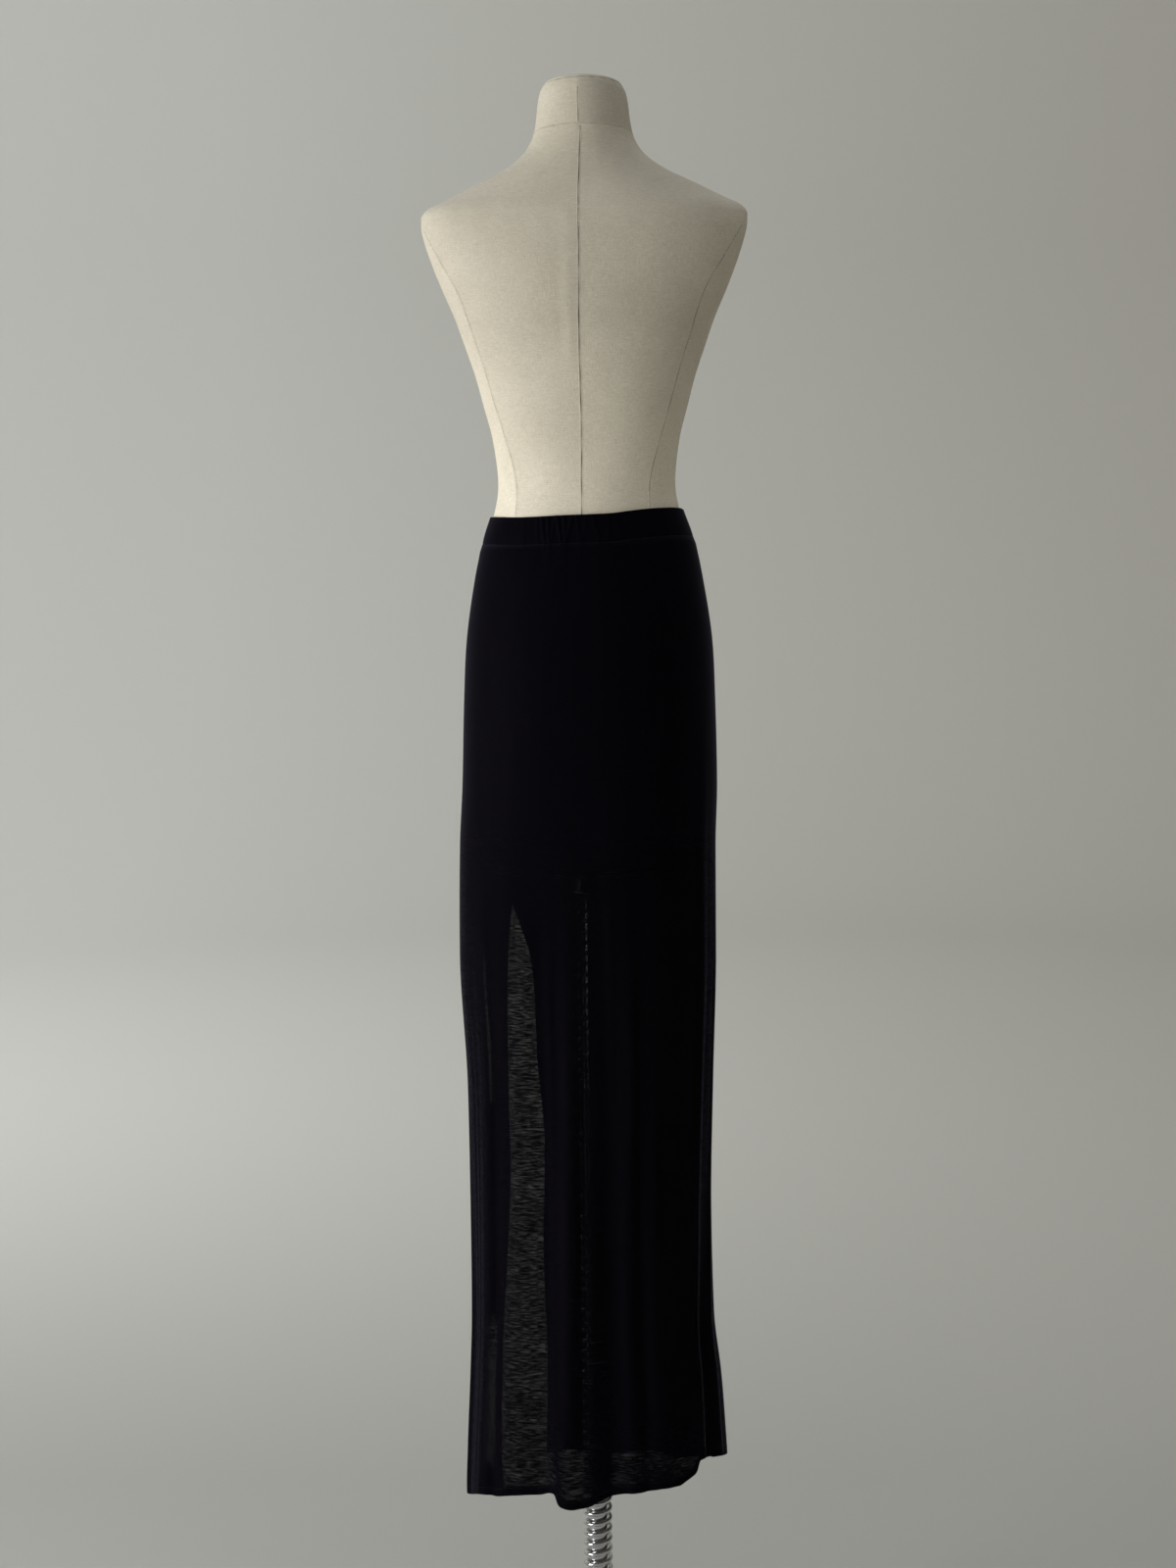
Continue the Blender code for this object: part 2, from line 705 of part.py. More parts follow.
def make_collar(chrome, black):
    """The clamp ring that the form turns on, and its thumb screw, which points forwards."""
    top = FORM_UNDERSIDE - GAP
    low = top - COLLAR_HEIGHT
    mesh_data = bmesh.new()
    rings = [
        circle_ring(COLLAR_BORE_RADIUS, low, ROUND_SIDES),
        circle_ring(COLLAR_RADIUS, low, ROUND_SIDES),
        circle_ring(COLLAR_RADIUS, top, ROUND_SIDES),
        circle_ring(COLLAR_BORE_RADIUS, top, ROUND_SIDES),
    ]
    made = [[mesh_data.verts.new(point) for point in ring] for ring in rings]
    for first, second in zip(made, made[1:] + made[:1]):
        for index in range(len(first)):
            after = (index + 1) % len(first)
            mesh_data.faces.new((first[index], first[after], second[after], second[index]))
    add_object("collar", mesh_data, chrome)

    middle = 0.5 * (top + low)
    start = COLLAR_RADIUS + GAP
    knob_start = start + SCREW_SHANK_LENGTH
    knob_end = knob_start + SCREW_KNOB_LENGTH
    screw_rings = []
    for radius, reach in (
        (SCREW_SHANK_RADIUS, start),
        (SCREW_SHANK_RADIUS, knob_start),
        (SCREW_KNOB_RADIUS, knob_start),
        (SCREW_KNOB_RADIUS, knob_end),
    ):
        screw_rings.append([
            Vector((point.x, -reach, middle + point.y))
            for point in circle_ring(radius, 0.0, SCREW_SIDES)
        ])
    loft_rings("thumb_screw", screw_rings, black)


def main():
    clear_scene()
    jersey = make_material("black_jersey", (0.006, 0.006, 0.010), 0.85)
    canvas = make_material("linen_canvas", (0.60, 0.55, 0.46), 0.90)
    chrome = make_material("chrome", (0.62, 0.62, 0.63), 0.12, 1.0)
    plastic = make_material("black_plastic", (0.02, 0.02, 0.02), 0.45)
    make_skirt(jersey)
    make_torso(canvas)
    make_neck_cap(canvas)
    make_stand(chrome, plastic)


main()
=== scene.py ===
"""The looks of a long black jersey skirt with a slit, on a limbless dress form.

Metres, +Z up, in the frame's own axes: the garment's back faces +Y, where the
camera stands, and the wearer's left is at +X, on the left of the picture.
"""

import math

import bmesh
import bpy
import numpy as np
from mathutils import Matrix, Vector
from mathutils.bvhtree import BVHTree


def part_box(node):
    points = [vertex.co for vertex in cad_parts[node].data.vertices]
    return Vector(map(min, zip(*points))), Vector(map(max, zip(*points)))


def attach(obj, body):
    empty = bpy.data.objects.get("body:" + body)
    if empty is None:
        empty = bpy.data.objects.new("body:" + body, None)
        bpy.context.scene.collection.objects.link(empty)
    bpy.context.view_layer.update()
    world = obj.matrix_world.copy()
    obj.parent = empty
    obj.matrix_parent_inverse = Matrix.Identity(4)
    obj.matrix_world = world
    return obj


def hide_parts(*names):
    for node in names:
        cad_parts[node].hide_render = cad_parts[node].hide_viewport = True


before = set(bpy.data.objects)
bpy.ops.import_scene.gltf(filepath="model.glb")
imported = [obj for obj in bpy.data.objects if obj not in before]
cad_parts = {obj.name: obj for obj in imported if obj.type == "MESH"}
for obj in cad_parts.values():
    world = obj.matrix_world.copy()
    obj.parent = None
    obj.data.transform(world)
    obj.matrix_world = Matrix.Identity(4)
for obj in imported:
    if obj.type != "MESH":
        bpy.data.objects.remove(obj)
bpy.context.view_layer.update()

# Camera, worked out from the picture
IMAGE_HEIGHT = 1600.0
FOCAL_PIXELS = 2403.0
SENSOR = 36.0
CAMERA_PLACE = (-0.1856, 2.6535, 1.40)
CAMERA_PITCH = 6.8
CAMERA_ROLL = 0.62
AIM_LEFT_PIXELS = 2.2

# Cloth
SEAM_GAP = 0.0003
JERSEY = 0.0006
CASING = 0.0024
TURN_RADIUS = 0.00045
HEM_TURN = 0.0100
SLIT_TURN = 0.0110
SEAM_DIP = 0.0006
SEAM_DIP_WIDTH = 0.0016
STITCH_LENGTH = 0.0021
STITCH_RADIUS = 0.00016
STITCH_STEP = 0.0032
STITCH_START = 0.0004
STITCH_OVER_HEM = 0.0015
STITCH_SIDES = 6

# One stitch: share of its length, lift and width as shares of its radius
STITCH_SHAPE = (
    (0.00, -0.6, 0.35),
    (0.12, 0.5, 0.90),
    (0.50, 0.9, 1.00),
    (0.88, 0.5, 0.90),
    (1.00, -0.6, 0.35),
)

# Just below the band the cloth is held in, then stands out, then puckers below each gather
BAND_HOLD = 0.0004
BAND_HOLD_REACH = 0.002
BAND_EASE = 0.0003
BAND_EASE_PLACE = 0.008
BAND_EASE_REACH = 0.005
PUCKER = 0.6
PUCKER_REACH = 0.010

# How far the casing stands out between its edges, and how strong its gathers are
CASING_PUFF = 0.0005
GATHER_AT_TOP = 0.9
GATHER_LOST_BELOW = 0.3

# Waistband and slit, as on the solids
BAND_LEVEL = 1.3852
BAND_HEIGHT = 0.0300
SLIT_TOP = 0.9330
SLIT_SEAM_ANGLE = -50.7
SKIRT_SQUARENESS = 2.15

# Skirt sections: height, left half width (+X), right half width (-X),
# depth behind the axis, depth before it
SKIRT_SECTIONS = (
    (1.4000, 0.1062, 0.1062, 0.0842, 0.0815),
    (1.3860, 0.1088, 0.1098, 0.0852, 0.0825),
    (1.3560, 0.1180, 0.1205, 0.0935, 0.0865),
    (1.3160, 0.1270, 0.1290, 0.1040, 0.0910),
    (1.2500, 0.1370, 0.1390, 0.1150, 0.0965),
    (1.1830, 0.1412, 0.1422, 0.1175, 0.0995),
    (1.0830, 0.1450, 0.1440, 0.1120, 0.0985),
    (1.0150, 0.1490, 0.1420, 0.1075, 0.0965),
    (0.8790, 0.1510, 0.1420, 0.0995, 0.0925),
    (0.7410, 0.1440, 0.1380, 0.0945, 0.0880),
    (0.6010, 0.1430, 0.1350, 0.0910, 0.0845),
    (0.4600, 0.1440, 0.1360, 0.0880, 0.0815),
    (0.3890, 0.1470, 0.1428, 0.0870, 0.0805),
    (0.3170, 0.1510, 0.1472, 0.0865, 0.0800),
    (0.2550, 0.1540, 0.1510, 0.0865, 0.0800),
)

# Waistband's top edge: angle round the skirt in degrees, height
BAND_TOPS = (
    (-180.0, 1.3922),
    (-140.0, 1.3925),
    (-90.0, 1.3900),
    (-40.0, 1.3870),
    (-8.0, 1.3856),
    (0.0, 1.3850),
    (6.0, 1.3858),
    (16.0, 1.3861),
    (38.0, 1.3859),
    (52.0, 1.3857),
    (60.0, 1.3860),
    (68.0, 1.3866),
    (81.0, 1.3876),
    (93.0, 1.3883),
    (106.0, 1.3893),
    (115.0, 1.3912),
    (126.0, 1.3931),
    (137.0, 1.3942),
    (153.0, 1.3946),
    (169.0, 1.3938),
    (180.0, 1.3922),
)

# Hem: angle round the skirt in degrees, height
HEM_HEIGHTS = (
    (-180.0, 0.2930),
    (-165.0, 0.2800),
    (-135.0, 0.2640),
    (-90.0, 0.2590),
    (-66.0, 0.2580),
    (-41.0, 0.2205),
    (-30.0, 0.2250),
    (-20.0, 0.2290),
    (-10.0, 0.2352),
    (0.0, 0.2395),
    (8.0, 0.2424),
    (16.0, 0.2474),
    (24.0, 0.2532),
    (32.0, 0.2590),
    (40.0, 0.2620),
    (44.0, 0.2626),
    (52.0, 0.2674),
    (60.0, 0.2702),
    (68.0, 0.2710),
    (75.0, 0.2768),
    (77.0, 0.2657),
    (79.5, 0.2628),
    (84.0, 0.2608),
    (88.0, 0.2622),
    (92.0, 0.2679),
    (96.0, 0.2718),
    (104.0, 0.2769),
    (112.0, 0.2778),
    (120.0, 0.2809),
    (126.0, 0.2805),
    (130.0, 0.2802),
    (134.0, 0.2829),
    (138.0, 0.2874),
    (141.5, 0.2928),
    (144.0, 0.3058),
    (148.0, 0.3067),
    (152.0, 0.3026),
    (156.0, 0.2988),
    (162.0, 0.2994),
    (168.0, 0.3000),
    (174.0, 0.2970),
    (180.0, 0.2930),
)

# Slit: height, place of the side piece's edge along X, place of the main piece's edge
SLIT_EDGES = (
    (0.9330, 0.0985, 0.0983),
    (0.9295, 0.1003, 0.0958),
    (0.9240, 0.1011, 0.0941),
    (0.9040, 0.1027, 0.0884),
    (0.8770, 0.1048, 0.0806),
    (0.8400, 0.1061, 0.0754),
    (0.7900, 0.1066, 0.0733),
    (0.7400, 0.1058, 0.0716),
    (0.7110, 0.1057, 0.0690),
    (0.6500, 0.1045, 0.0642),
    (0.6000, 0.1055, 0.0648),
    (0.5270, 0.1099, 0.0668),
    (0.4600, 0.1147, 0.0660),
    (0.3900, 0.1168, 0.0638),
    (0.3200, 0.1182, 0.0644),
    (0.2550, 0.1185, 0.0660),
)

# Heights between which the cloth, hanging clear below, comes to lie on the form
LINED_HEIGHTS = (0.985, 1.040)

# How clear the closed and the open courses are, and the share that thin places add
SEE_THROUGH = (0.03, 0.28)
THIN_SHARE = 0.85
THIN_FADE = 0.03

# Folds: angle where it starts, angle at the hem, height where it starts,
# height where it is full, depth, half width in degrees. A negative depth is a trough.
FOLDS = (
    (92.0, 86.0, 1.000, 0.360, 0.0050, 6.5),
    (86.8, 79.4, 1.120, 0.560, 0.0080, 4.2),
    (71.5, 68.5, 1.060, 0.560, -0.0042, 4.2),
    (57.0, 51.0, 1.060, 0.560, 0.0048, 7.0),
    (100.0, 99.0, 1.020, 0.440, -0.0058, 5.0),
    (105.5, 107.5, 1.180, 0.760, 0.0030, 4.6),
    (113.5, 111.5, 0.860, 0.480, -0.0035, 3.4),
    (120.5, 121.5, 1.080, 0.600, 0.0028, 5.0),
    (130.0, 132.5, 0.920, 0.420, -0.0026, 5.0),
    (154.5, 147.0, 1.200, 0.800, 0.0036, 3.6),
    (162.0, 156.5, 0.720, 0.300, -0.0115, 5.4),
    (-176.0, -176.0, 0.620, 0.300, 0.0040, 7.0),
    (40.5, 33.5, 1.120, 0.620, 0.0042, 5.0),
    (18.0, 12.0, 0.820, 0.380, -0.0040, 6.0),
    (-24.0, -20.0, 0.980, 0.480, 0.0050, 8.0),
    (-34.0, -33.0, 0.860, 0.400, -0.0035, 5.0),
    (-78.0, -76.0, 0.900, 0.450, 0.0060, 8.0),
    (-94.0, -95.0, 0.980, 0.440, -0.0055, 9.0),
    (-112.0, -110.0, 1.060, 0.500, 0.0065, 9.0),
    (-128.0, -127.0, 0.900, 0.420, -0.0050, 8.0),
    (-146.0, -143.0, 1.000, 0.480, 0.0055, 8.0),
    (-161.0, -159.0, 0.860, 0.400, -0.0045, 7.0),
)

# Fine creases, laid over the folds: the same columns
CREASES = (
    (76.0, 74.0, 1.130, 0.700, 0.0016, 1.6),
    (88.5, 86.0, 1.040, 0.620, -0.0012, 1.8),
    (99.0, 100.5, 1.180, 0.900, 0.0013, 1.7),
    (108.0, 111.0, 1.020, 0.760, 0.0011, 1.5),
    (126.0, 131.0, 1.150, 0.820, 0.0014, 2.2),
    (147.0, 148.0, 1.060, 0.700, -0.0013, 2.4),
    (60.0, 58.0, 1.000, 0.640, 0.0010, 2.0),
    (41.0, 38.0, 1.090, 0.760, 0.0012, 2.0),
    (24.0, 20.0, 0.960, 0.560, -0.0012, 2.1),
    (6.0, 4.0, 1.100, 0.620, 0.0013, 2.4),
    (-12.0, -11.0, 0.940, 0.600, 0.0011, 2.0),
    (-29.0, -28.0, 1.040, 0.700, -0.0010, 2.0),
    (-70.0, -68.0, 0.820, 0.520, 0.0012, 1.8),
    (-86.0, -86.0, 1.120, 0.780, 0.0013, 2.0),
    (-103.0, -102.0, 0.980, 0.600, -0.0012, 2.2),
    (-121.0, -118.0, 1.140, 0.820, 0.0014, 2.1),
    (-137.0, -134.0, 0.960, 0.560, -0.0012, 1.9),
    (-153.0, -151.0, 1.080, 0.740, 0.0012, 2.2),
    (-170.0, -168.0, 0.900, 0.520, 0.0012, 2.0),
    (172.0, 170.0, 1.100, 0.760, 0.0013, 2.3),
)

# Places where the cloth is thinner, and where the last number is below 0 less see-through as
# painted shade:
# angle, lowest and highest height, half width in degrees, how clear
BACK_CLEAR_AND_SHADED_PLACES = (
    (90.2, 0.620, 0.975, 0.50, 0.30),
    (90.4, 0.400, 0.640, 0.45, 0.12),
    # Painted shade: rows below 0 darken the shade side of the fold at 76.5 degrees, the dark round
    # the pole and the hem zone beside it, hiding the coil's glints there
    (76.5, 0.200, 0.370, 3.0, -0.12),
    (93.5, 0.200, 0.430, 4.0, -0.20),
    (118.0, 0.200, 0.370, 20.0, -0.12),
)
THIN_SIDE_FRONT = (
    (-31.0, 0.686, 0.890, 1.50, 0.90),
    (-31.0, 0.240, 0.450, 3.80, 1.00),
)

# Gathers of the elastic at the centre back: angle, half width in degrees, depth,
# slant in degrees from the band's top to its lower edge
GATHERS = (
    (57.0, 1.3, 0.0004, 3.0),
    (66.0, 0.9, 0.0006, 3.0),
    (69.5, 0.9, 0.0012, 4.0),
    (72.7, 0.8, 0.0015, 2.0),
    (75.4, 0.8, 0.0009, -1.5),
    (78.6, 0.9, 0.0017, 3.5),
    (81.6, 0.8, 0.0010, 1.0),
    (84.2, 0.8, 0.0014, -3.0),
    (88.5, 0.9, 0.0010, 2.0),
    (91.2, 0.8, 0.0006, -2.0),
    (96.5, 1.1, 0.0009, 3.0),
    (103.0, 1.0, 0.0005, -2.0),
    (109.0, 1.4, 0.0006, 2.5),
)

# Dress form sections: height, half width, depth behind the axis, depth before it, squareness
FORM_SECTIONS = (
    (0.9870, 0.1200, 0.0880, 0.0780, 2.12),
    (0.9930, 0.1262, 0.0945, 0.0840, 2.12),
    (1.0500, 0.1340, 0.1035, 0.0905, 2.12),
    (1.1200, 0.1378, 0.1110, 0.0940, 2.12),
    (1.1830, 0.1382, 0.1130, 0.0955, 2.12),
    (1.2500, 0.1335, 0.1100, 0.0920, 2.12),
    (1.3160, 0.1236, 0.0992, 0.0870, 2.12),
    (1.3580, 0.1130, 0.0890, 0.0822, 2.12),
    (1.3860, 0.1050, 0.0818, 0.0792, 2.12),
    (1.4090, 0.1000, 0.0775, 0.0778, 2.12),
    (1.4300, 0.0990, 0.0755, 0.0780, 2.25),
    (1.4740, 0.1047, 0.0765, 0.0830, 2.4),
    (1.5070, 0.1132, 0.0800, 0.0900, 2.45),
    (1.5400, 0.1218, 0.0840, 0.0970, 2.5),
    (1.5720, 0.1325, 0.0880, 0.1040, 2.5),
    (1.6040, 0.1438, 0.0912, 0.1080, 2.5),
    (1.6360, 0.1577, 0.0925, 0.1060, 2.5),
    (1.6680, 0.1700, 0.0915, 0.0980, 2.5),
    (1.7000, 0.1795, 0.0870, 0.0850, 2.45),
    (1.7150, 0.1802, 0.0825, 0.0750, 2.35),
    (1.7240, 0.1730, 0.0785, 0.0690, 2.25),
    (1.7320, 0.1560, 0.0745, 0.0640, 2.15),
    (1.7480, 0.1245, 0.0665, 0.0580, 2.0),
    (1.7630, 0.0930, 0.0590, 0.0540, 2.0),
    (1.7790, 0.0697, 0.0520, 0.0520, 2.0),
    (1.7950, 0.0578, 0.0462, 0.0515, 2.0),
    (1.8110, 0.0529, 0.0425, 0.0520, 2.0),
    (1.8360, 0.0494, 0.0393, 0.0540, 2.0),
    (1.8460, 0.0470, 0.0375, 0.0525, 2.0),
    (1.8520, 0.0435, 0.0350, 0.0495, 2.0),
)

# Neck cap sections: height over the neck's top, share of the neck's section
CAP_SECTIONS = (
    (0.0000, 0.985),
    (0.0015, 0.980),
    (0.0040, 0.850),
    (0.0065, 0.550),
    (0.0075, 0.200),
)

NECK_TOP = 1.8520
NECK_TILT = 0.19
NECK_TILT_LOW = 1.7700
BUST_HEIGHT = 1.598
BUST_APART = 0.150
BUST_RADIUS = 0.052
BUST_DEPTH = 0.020
FORM_UNDERSIDE = 0.987
FORM_BORE_RADIUS = 0.020
FORM_BORE_TOP = 1.240
FORM_COLUMNS = 240

# Seams of the form's canvas: height, distance from the centre line
PRINCESS_BACK = (
    (1.7150, 0.1790),
    (1.6980, 0.1735),
    (1.6640, 0.1545),
    (1.6280, 0.1340),
    (1.5800, 0.1176),
    (1.5500, 0.1078),
    (1.5100, 0.0966),
    (1.4760, 0.0865),
    (1.4400, 0.0765),
    (1.4140, 0.0728),
    (1.3500, 0.0770),
)
PRINCESS_FRONT = (
    (1.7420, 0.0950),
    (1.7000, 0.0900),
    (1.6500, 0.0830),
    (1.5980, 0.0760),
    (1.5300, 0.0650),
    (1.4800, 0.0570),
    (1.4300, 0.0520),
    (1.3500, 0.0570),
)
CENTRE_SEAM = (
    (1.8085, 0.0000),
    (1.7400, 0.0006),
    (1.6600, -0.0004),
    (1.5800, 0.0005),
    (1.5000, -0.0003),
    (1.4300, 0.0004),
    (1.3500, 0.0000),
)
NECK_CENTRE_SEAM = (
    (1.8580, 0.0022),
    (1.8350, 0.0026),
    (1.8085, 0.0020),
)
NECK_SEAM_HEIGHT = 1.8015
NECK_SEAM_TILT = 0.150
NECK_CENTRE = -0.0072
# Painted shade on the neck's right half, and how far past the centre line it starts
NECK_PAINTED_SHADE = 0.14
NECK_PAINTED_SHADE_EDGE = 0.0022
# Painted light: the canvas grows brighter from the first height down to the second, by the gain
PAINTED_LIGHT_HEIGHTS = (1.600, 1.430)
PAINTED_LIGHT_GAIN = 1.25
PANEL_BREAK = 0.0030
PANEL_BREAK_WIDTH = 0.015
PANEL_BREAK_TOP = 1.735
PANEL_BREAK_LOW = 1.360
FACING_PLACE = 0.0163
FACING_TOP = 1.7180
FACING_LOW = 1.5200
FACING_RISE = 0.0007
FACING_WIDTH = 0.0016
SEAM_HALF_WIDTH = 0.0021
SEAM_LIP = 0.00035

# Across a seam: share of its half width, lift as a share of its lip, painted shade
SEAM_SHAPE = (
    (-1.00, -0.60, 0.00),
    (-0.78, 0.20, 0.00),
    (-0.55, 0.60, 0.00),
    (-0.36, 0.50, 0.25),
    (-0.20, 0.05, 1.00),
    (0.20, 0.05, 1.00),
    (0.36, 0.50, 0.25),
    (0.55, 0.60, 0.00),
    (0.78, 0.20, 0.00),
    (1.00, -0.60, 0.00),
)

# Stand
COIL_WIRE = 0.0026
COIL_OUTER = 0.0172
COIL_PITCH = 0.0124
COIL_SEGMENTS = 30
COIL_SIDES = 10
COLLAR_CLEARANCE = 0.0006
COLLAR_BEVEL = 0.0015
KNOB_LENGTH = 0.012
SHANK_RADIUS = 0.004
FLUTES = 18.0
FLUTE_DEPTH = 0.05
ON_AXIS = 0.0005

# Mesh rows and columns
PANEL_ROWS = 128
DEGREES_PER_COLUMN = 0.7
FEWEST_COLUMNS = 24
SPAN_HEIGHT = 0.9
BAND_COLUMNS = 1080
TURNED_SEGMENTS = 96

# The torso's rows: from, to, how many; they are closest where it shows
TORSO_ROWS = (
    (FORM_UNDERSIDE, 1.36, 60),
    (1.36, 1.70, 150),
    (1.70, NECK_TOP, 110),
)

# Room
FLOOR_RADIUS = 5.0
WALL_CURVE = 2.5
WALL_TOP = 8.0
SHADE_ACROSS = (-4.5, 2.0)
DAYLIGHT = (0.93, 0.96, 1.0, 1.0)
DAYLIGHT_STRENGTH = 0.70

# Lamps: name, place, point it faces, side, watts, colour, spread in degrees
LAMPS = (
    ("window", (3.1, 1.4, 1.0), (0.0, 0.0, 1.2), 1.8, 46.5, (1.0, 0.98, 0.945), 120.0),
    ("wall_light", (2.6, -1.2, 3.4), (3.0, -7.5, 2.0), 2.5, 140.0, (1.0, 0.99, 0.97), 180.0),
    ("room_glow", (-2.4, 1.7, 2.5), (0.0, 0.0, 1.6), 1.6, 3.8, (1.0, 0.84, 0.60), 180.0),
)


# Tables and surfaces

def read_table(rows, place):
    """Reads a table at places in its first column, along smooth curves through its rows."""
    rows = np.array(sorted(rows))
    keys = rows[:, 0]
    place = np.clip(np.asarray(place, dtype=float), keys[0], keys[-1])
    index = np.clip(np.searchsorted(keys, place, side="left") - 1, 0, len(keys) - 2)
    before = rows[np.maximum(index - 1, 0)]
    low = rows[index]
    high = rows[index + 1]
    after = rows[np.minimum(index + 2, len(keys) - 1)]
    span = (high - low)[..., :1]
    t = (place[..., None] - low[..., :1]) / span
    chord = (high - low) / span
    slope_low = limited_slope((high - before) / (high - before)[..., :1], chord)
    slope_high = limited_slope((after - low) / (after - low)[..., :1], chord)
    values = (
        low * (1 + 2 * t) * (1 - t) ** 2
        + high * t * t * (3 - 2 * t)
        + slope_low * span * t * (1 - t) ** 2
        + slope_high * span * t * t * (t - 1)
    )
    return np.moveaxis(values[..., 1:], -1, 0)


def limited_slope(slope, chord):
    """Keeps a curve between two rows from passing beyond them."""
    held = np.minimum(np.abs(slope), 3 * np.abs(chord)) * np.sign(chord)
    return np.where(slope * chord <= 0, 0.0, held)


def smooth_step(value):
    value = np.clip(value, 0.0, 1.0)
    return value * value * (3.0 - 2.0 * value)


def wrapped(angle):
    """An angle in degrees, brought between -180 and 180."""
    return (angle + 180.0) % 360.0 - 180.0


def oval_point(angle, left, right, back, front, squareness=SKIRT_SQUARENESS):
    across = np.cos(np.radians(angle))
    along = np.sin(np.radians(angle))
    power = 2.0 / squareness
    half_width = np.where(across > 0, left, right)
    half_depth = np.where(along > 0, back, front)
    x = half_width * np.sign(across) * np.abs(across) ** power
    y = half_depth * np.sign(along) * np.abs(along) ** power
    return x, y


def oval_angle(x, half_width):
    share = np.clip(x / half_width, -1.0, 1.0)
    across = np.sign(share) * np.abs(share) ** (SKIRT_SQUARENESS / 2.0)
    return -np.degrees(np.arccos(across))


def fold_shift(rows, angle, z):
    """How far a table's folds move the cloth outwards."""
    outward = np.zeros(np.broadcast(angle, z).shape)
    lowest = SKIRT_SECTIONS[-1][0]
    for start_angle, hem_angle, start_z, full_z, depth, half_width in rows:
        grown = smooth_step((start_z - z) / (start_z - full_z))
        down = np.clip((start_z - z) / (start_z - lowest), 0.0, 1.0)
        centre = start_angle + (hem_angle - start_angle) * down
        away = np.minimum(np.abs(wrapped(angle - centre)) / (2.0 * half_width), 1.0)
        outward += depth * grown * np.cos(away * math.pi / 2.0) ** 2
    return outward


def skirt_surface(angle, z):
    """Points on the skirt's outer side, with its folds and creases."""
    angle = np.asarray(angle, dtype=float)
    z = np.asarray(z, dtype=float)
    left, right, back, front = read_table(SKIRT_SECTIONS, z)
    x, y = oval_point(angle, left, right, back, front)
    outward = np.stack([x / left ** 2, y / back ** 2], axis=-1)
    outward /= np.linalg.norm(outward, axis=-1, keepdims=True)
    folded = fold_shift(FOLDS, angle, z) + fold_shift(CREASES, angle, z)
    x = x + folded * outward[..., 0]
    y = y + folded * outward[..., 1]
    return np.stack([x, y, z + np.zeros_like(x)], axis=-1)


def surface_normal(surface, angle, z, angle_step=0.35, height_step=0.0015):
    across = surface(angle + angle_step, z) - surface(angle - angle_step, z)
    upward = surface(angle, z + height_step) - surface(angle, z - height_step)
    normal = np.cross(across, upward)
    return normal / np.linalg.norm(normal, axis=-1, keepdims=True)


def band_top(angle):
    return read_table(BAND_TOPS, wrapped(angle))[0]


def hem_height(angle):
    return read_table(HEM_HEIGHTS, wrapped(angle))[0]


def gather_shift(angle, down):
    """The gathers' height over the plain casing; down is 0 at its top, 1 at its lower edge."""
    moved = np.zeros(np.broadcast(angle, down).shape)
    for centre, half_width, depth, slant in GATHERS:
        away = (np.asarray(angle) - centre - slant * (down - 0.5)) / half_width
        moved += depth * np.exp(-away * away)
    return moved


def form_surface(angle, z, share=1.0, lift=0.0):
    """Points on the dress form, whose sections tilt up the neck with the back edge higher.

    share draws a section in towards its centre, and lift raises it."""
    half_width, back, front, squareness = read_table(FORM_SECTIONS, z)
    x, y = oval_point(angle, half_width, half_width, back, front, squareness)
    away = np.hypot(np.abs(x) - 0.5 * BUST_APART, z - BUST_HEIGHT) / BUST_RADIUS
    y = y - np.where(y < 0.0, BUST_DEPTH * np.exp(-away * away), 0.0)
    seam_back = np.abs(np.abs(x) - read_table(PRINCESS_BACK, z)[0]) / PANEL_BREAK_WIDTH
    seam_front = np.abs(np.abs(x) - read_table(PRINCESS_FRONT, z)[0]) / PANEL_BREAK_WIDTH
    tent = np.exp(-np.where(y > 0.0, seam_back, seam_front))
    below_top = smooth_step((PANEL_BREAK_TOP - z) / 0.06)
    within = below_top * smooth_step((z - PANEL_BREAK_LOW) / 0.03)
    facing = smooth_step((FACING_PLACE + FACING_WIDTH - x) / (2.0 * FACING_WIDTH))
    facing = facing * smooth_step(x / 0.004) * (y > 0.0)
    facing = facing * smooth_step((FACING_TOP - z) / 0.01) * smooth_step((z - FACING_LOW) / 0.06)
    raised = PANEL_BREAK * tent * within * np.minimum(1.0, np.abs(y) / 0.03)
    raised = raised + FACING_RISE * facing
    outward = np.stack([x / half_width ** 2, y / np.where(y > 0, back, front) ** 2], axis=-1)
    outward = outward / np.maximum(np.linalg.norm(outward, axis=-1, keepdims=True), 1e-9)
    x = x + raised * outward[..., 0]
    y = y + raised * outward[..., 1]
    centre = 0.5 * (back - front)
    tilt = NECK_TILT * smooth_step((z - NECK_TILT_LOW) / (NECK_TOP - NECK_TILT_LOW))
    from_centre = (y - centre) * share
    return np.stack([x * share, centre + from_centre, z + lift + tilt * from_centre], axis=-1)


# Objects

def add_mesh(name, points, faces, material, smooth=True):
    mesh = bpy.data.meshes.new(name)
    mesh.from_pydata([tuple(point) for point in points], [], [tuple(face) for face in faces])
    mesh.materials.append(material)
    if smooth:
        mesh.shade_smooth()
    thing = bpy.data.objects.new(name, mesh)
    bpy.context.scene.collection.objects.link(thing)
    return thing


def grid_faces(rows, columns, closed_rows=False, closed_columns=False, start=0):
    """Quads of a grid whose points run row by row."""
    row_count = rows if closed_rows else rows - 1
    column_count = columns if closed_columns else columns - 1
    row = np.arange(row_count)[:, None]
    column = np.arange(column_count)[None, :]
    next_row = (row + 1) % rows
    next_column = (column + 1) % columns
    quads = np.stack(
        [row * columns + column, row * columns + next_column,
         next_row * columns + next_column, next_row * columns + column],
        axis=-1,
    )
    return quads.reshape(-1, 4) + start


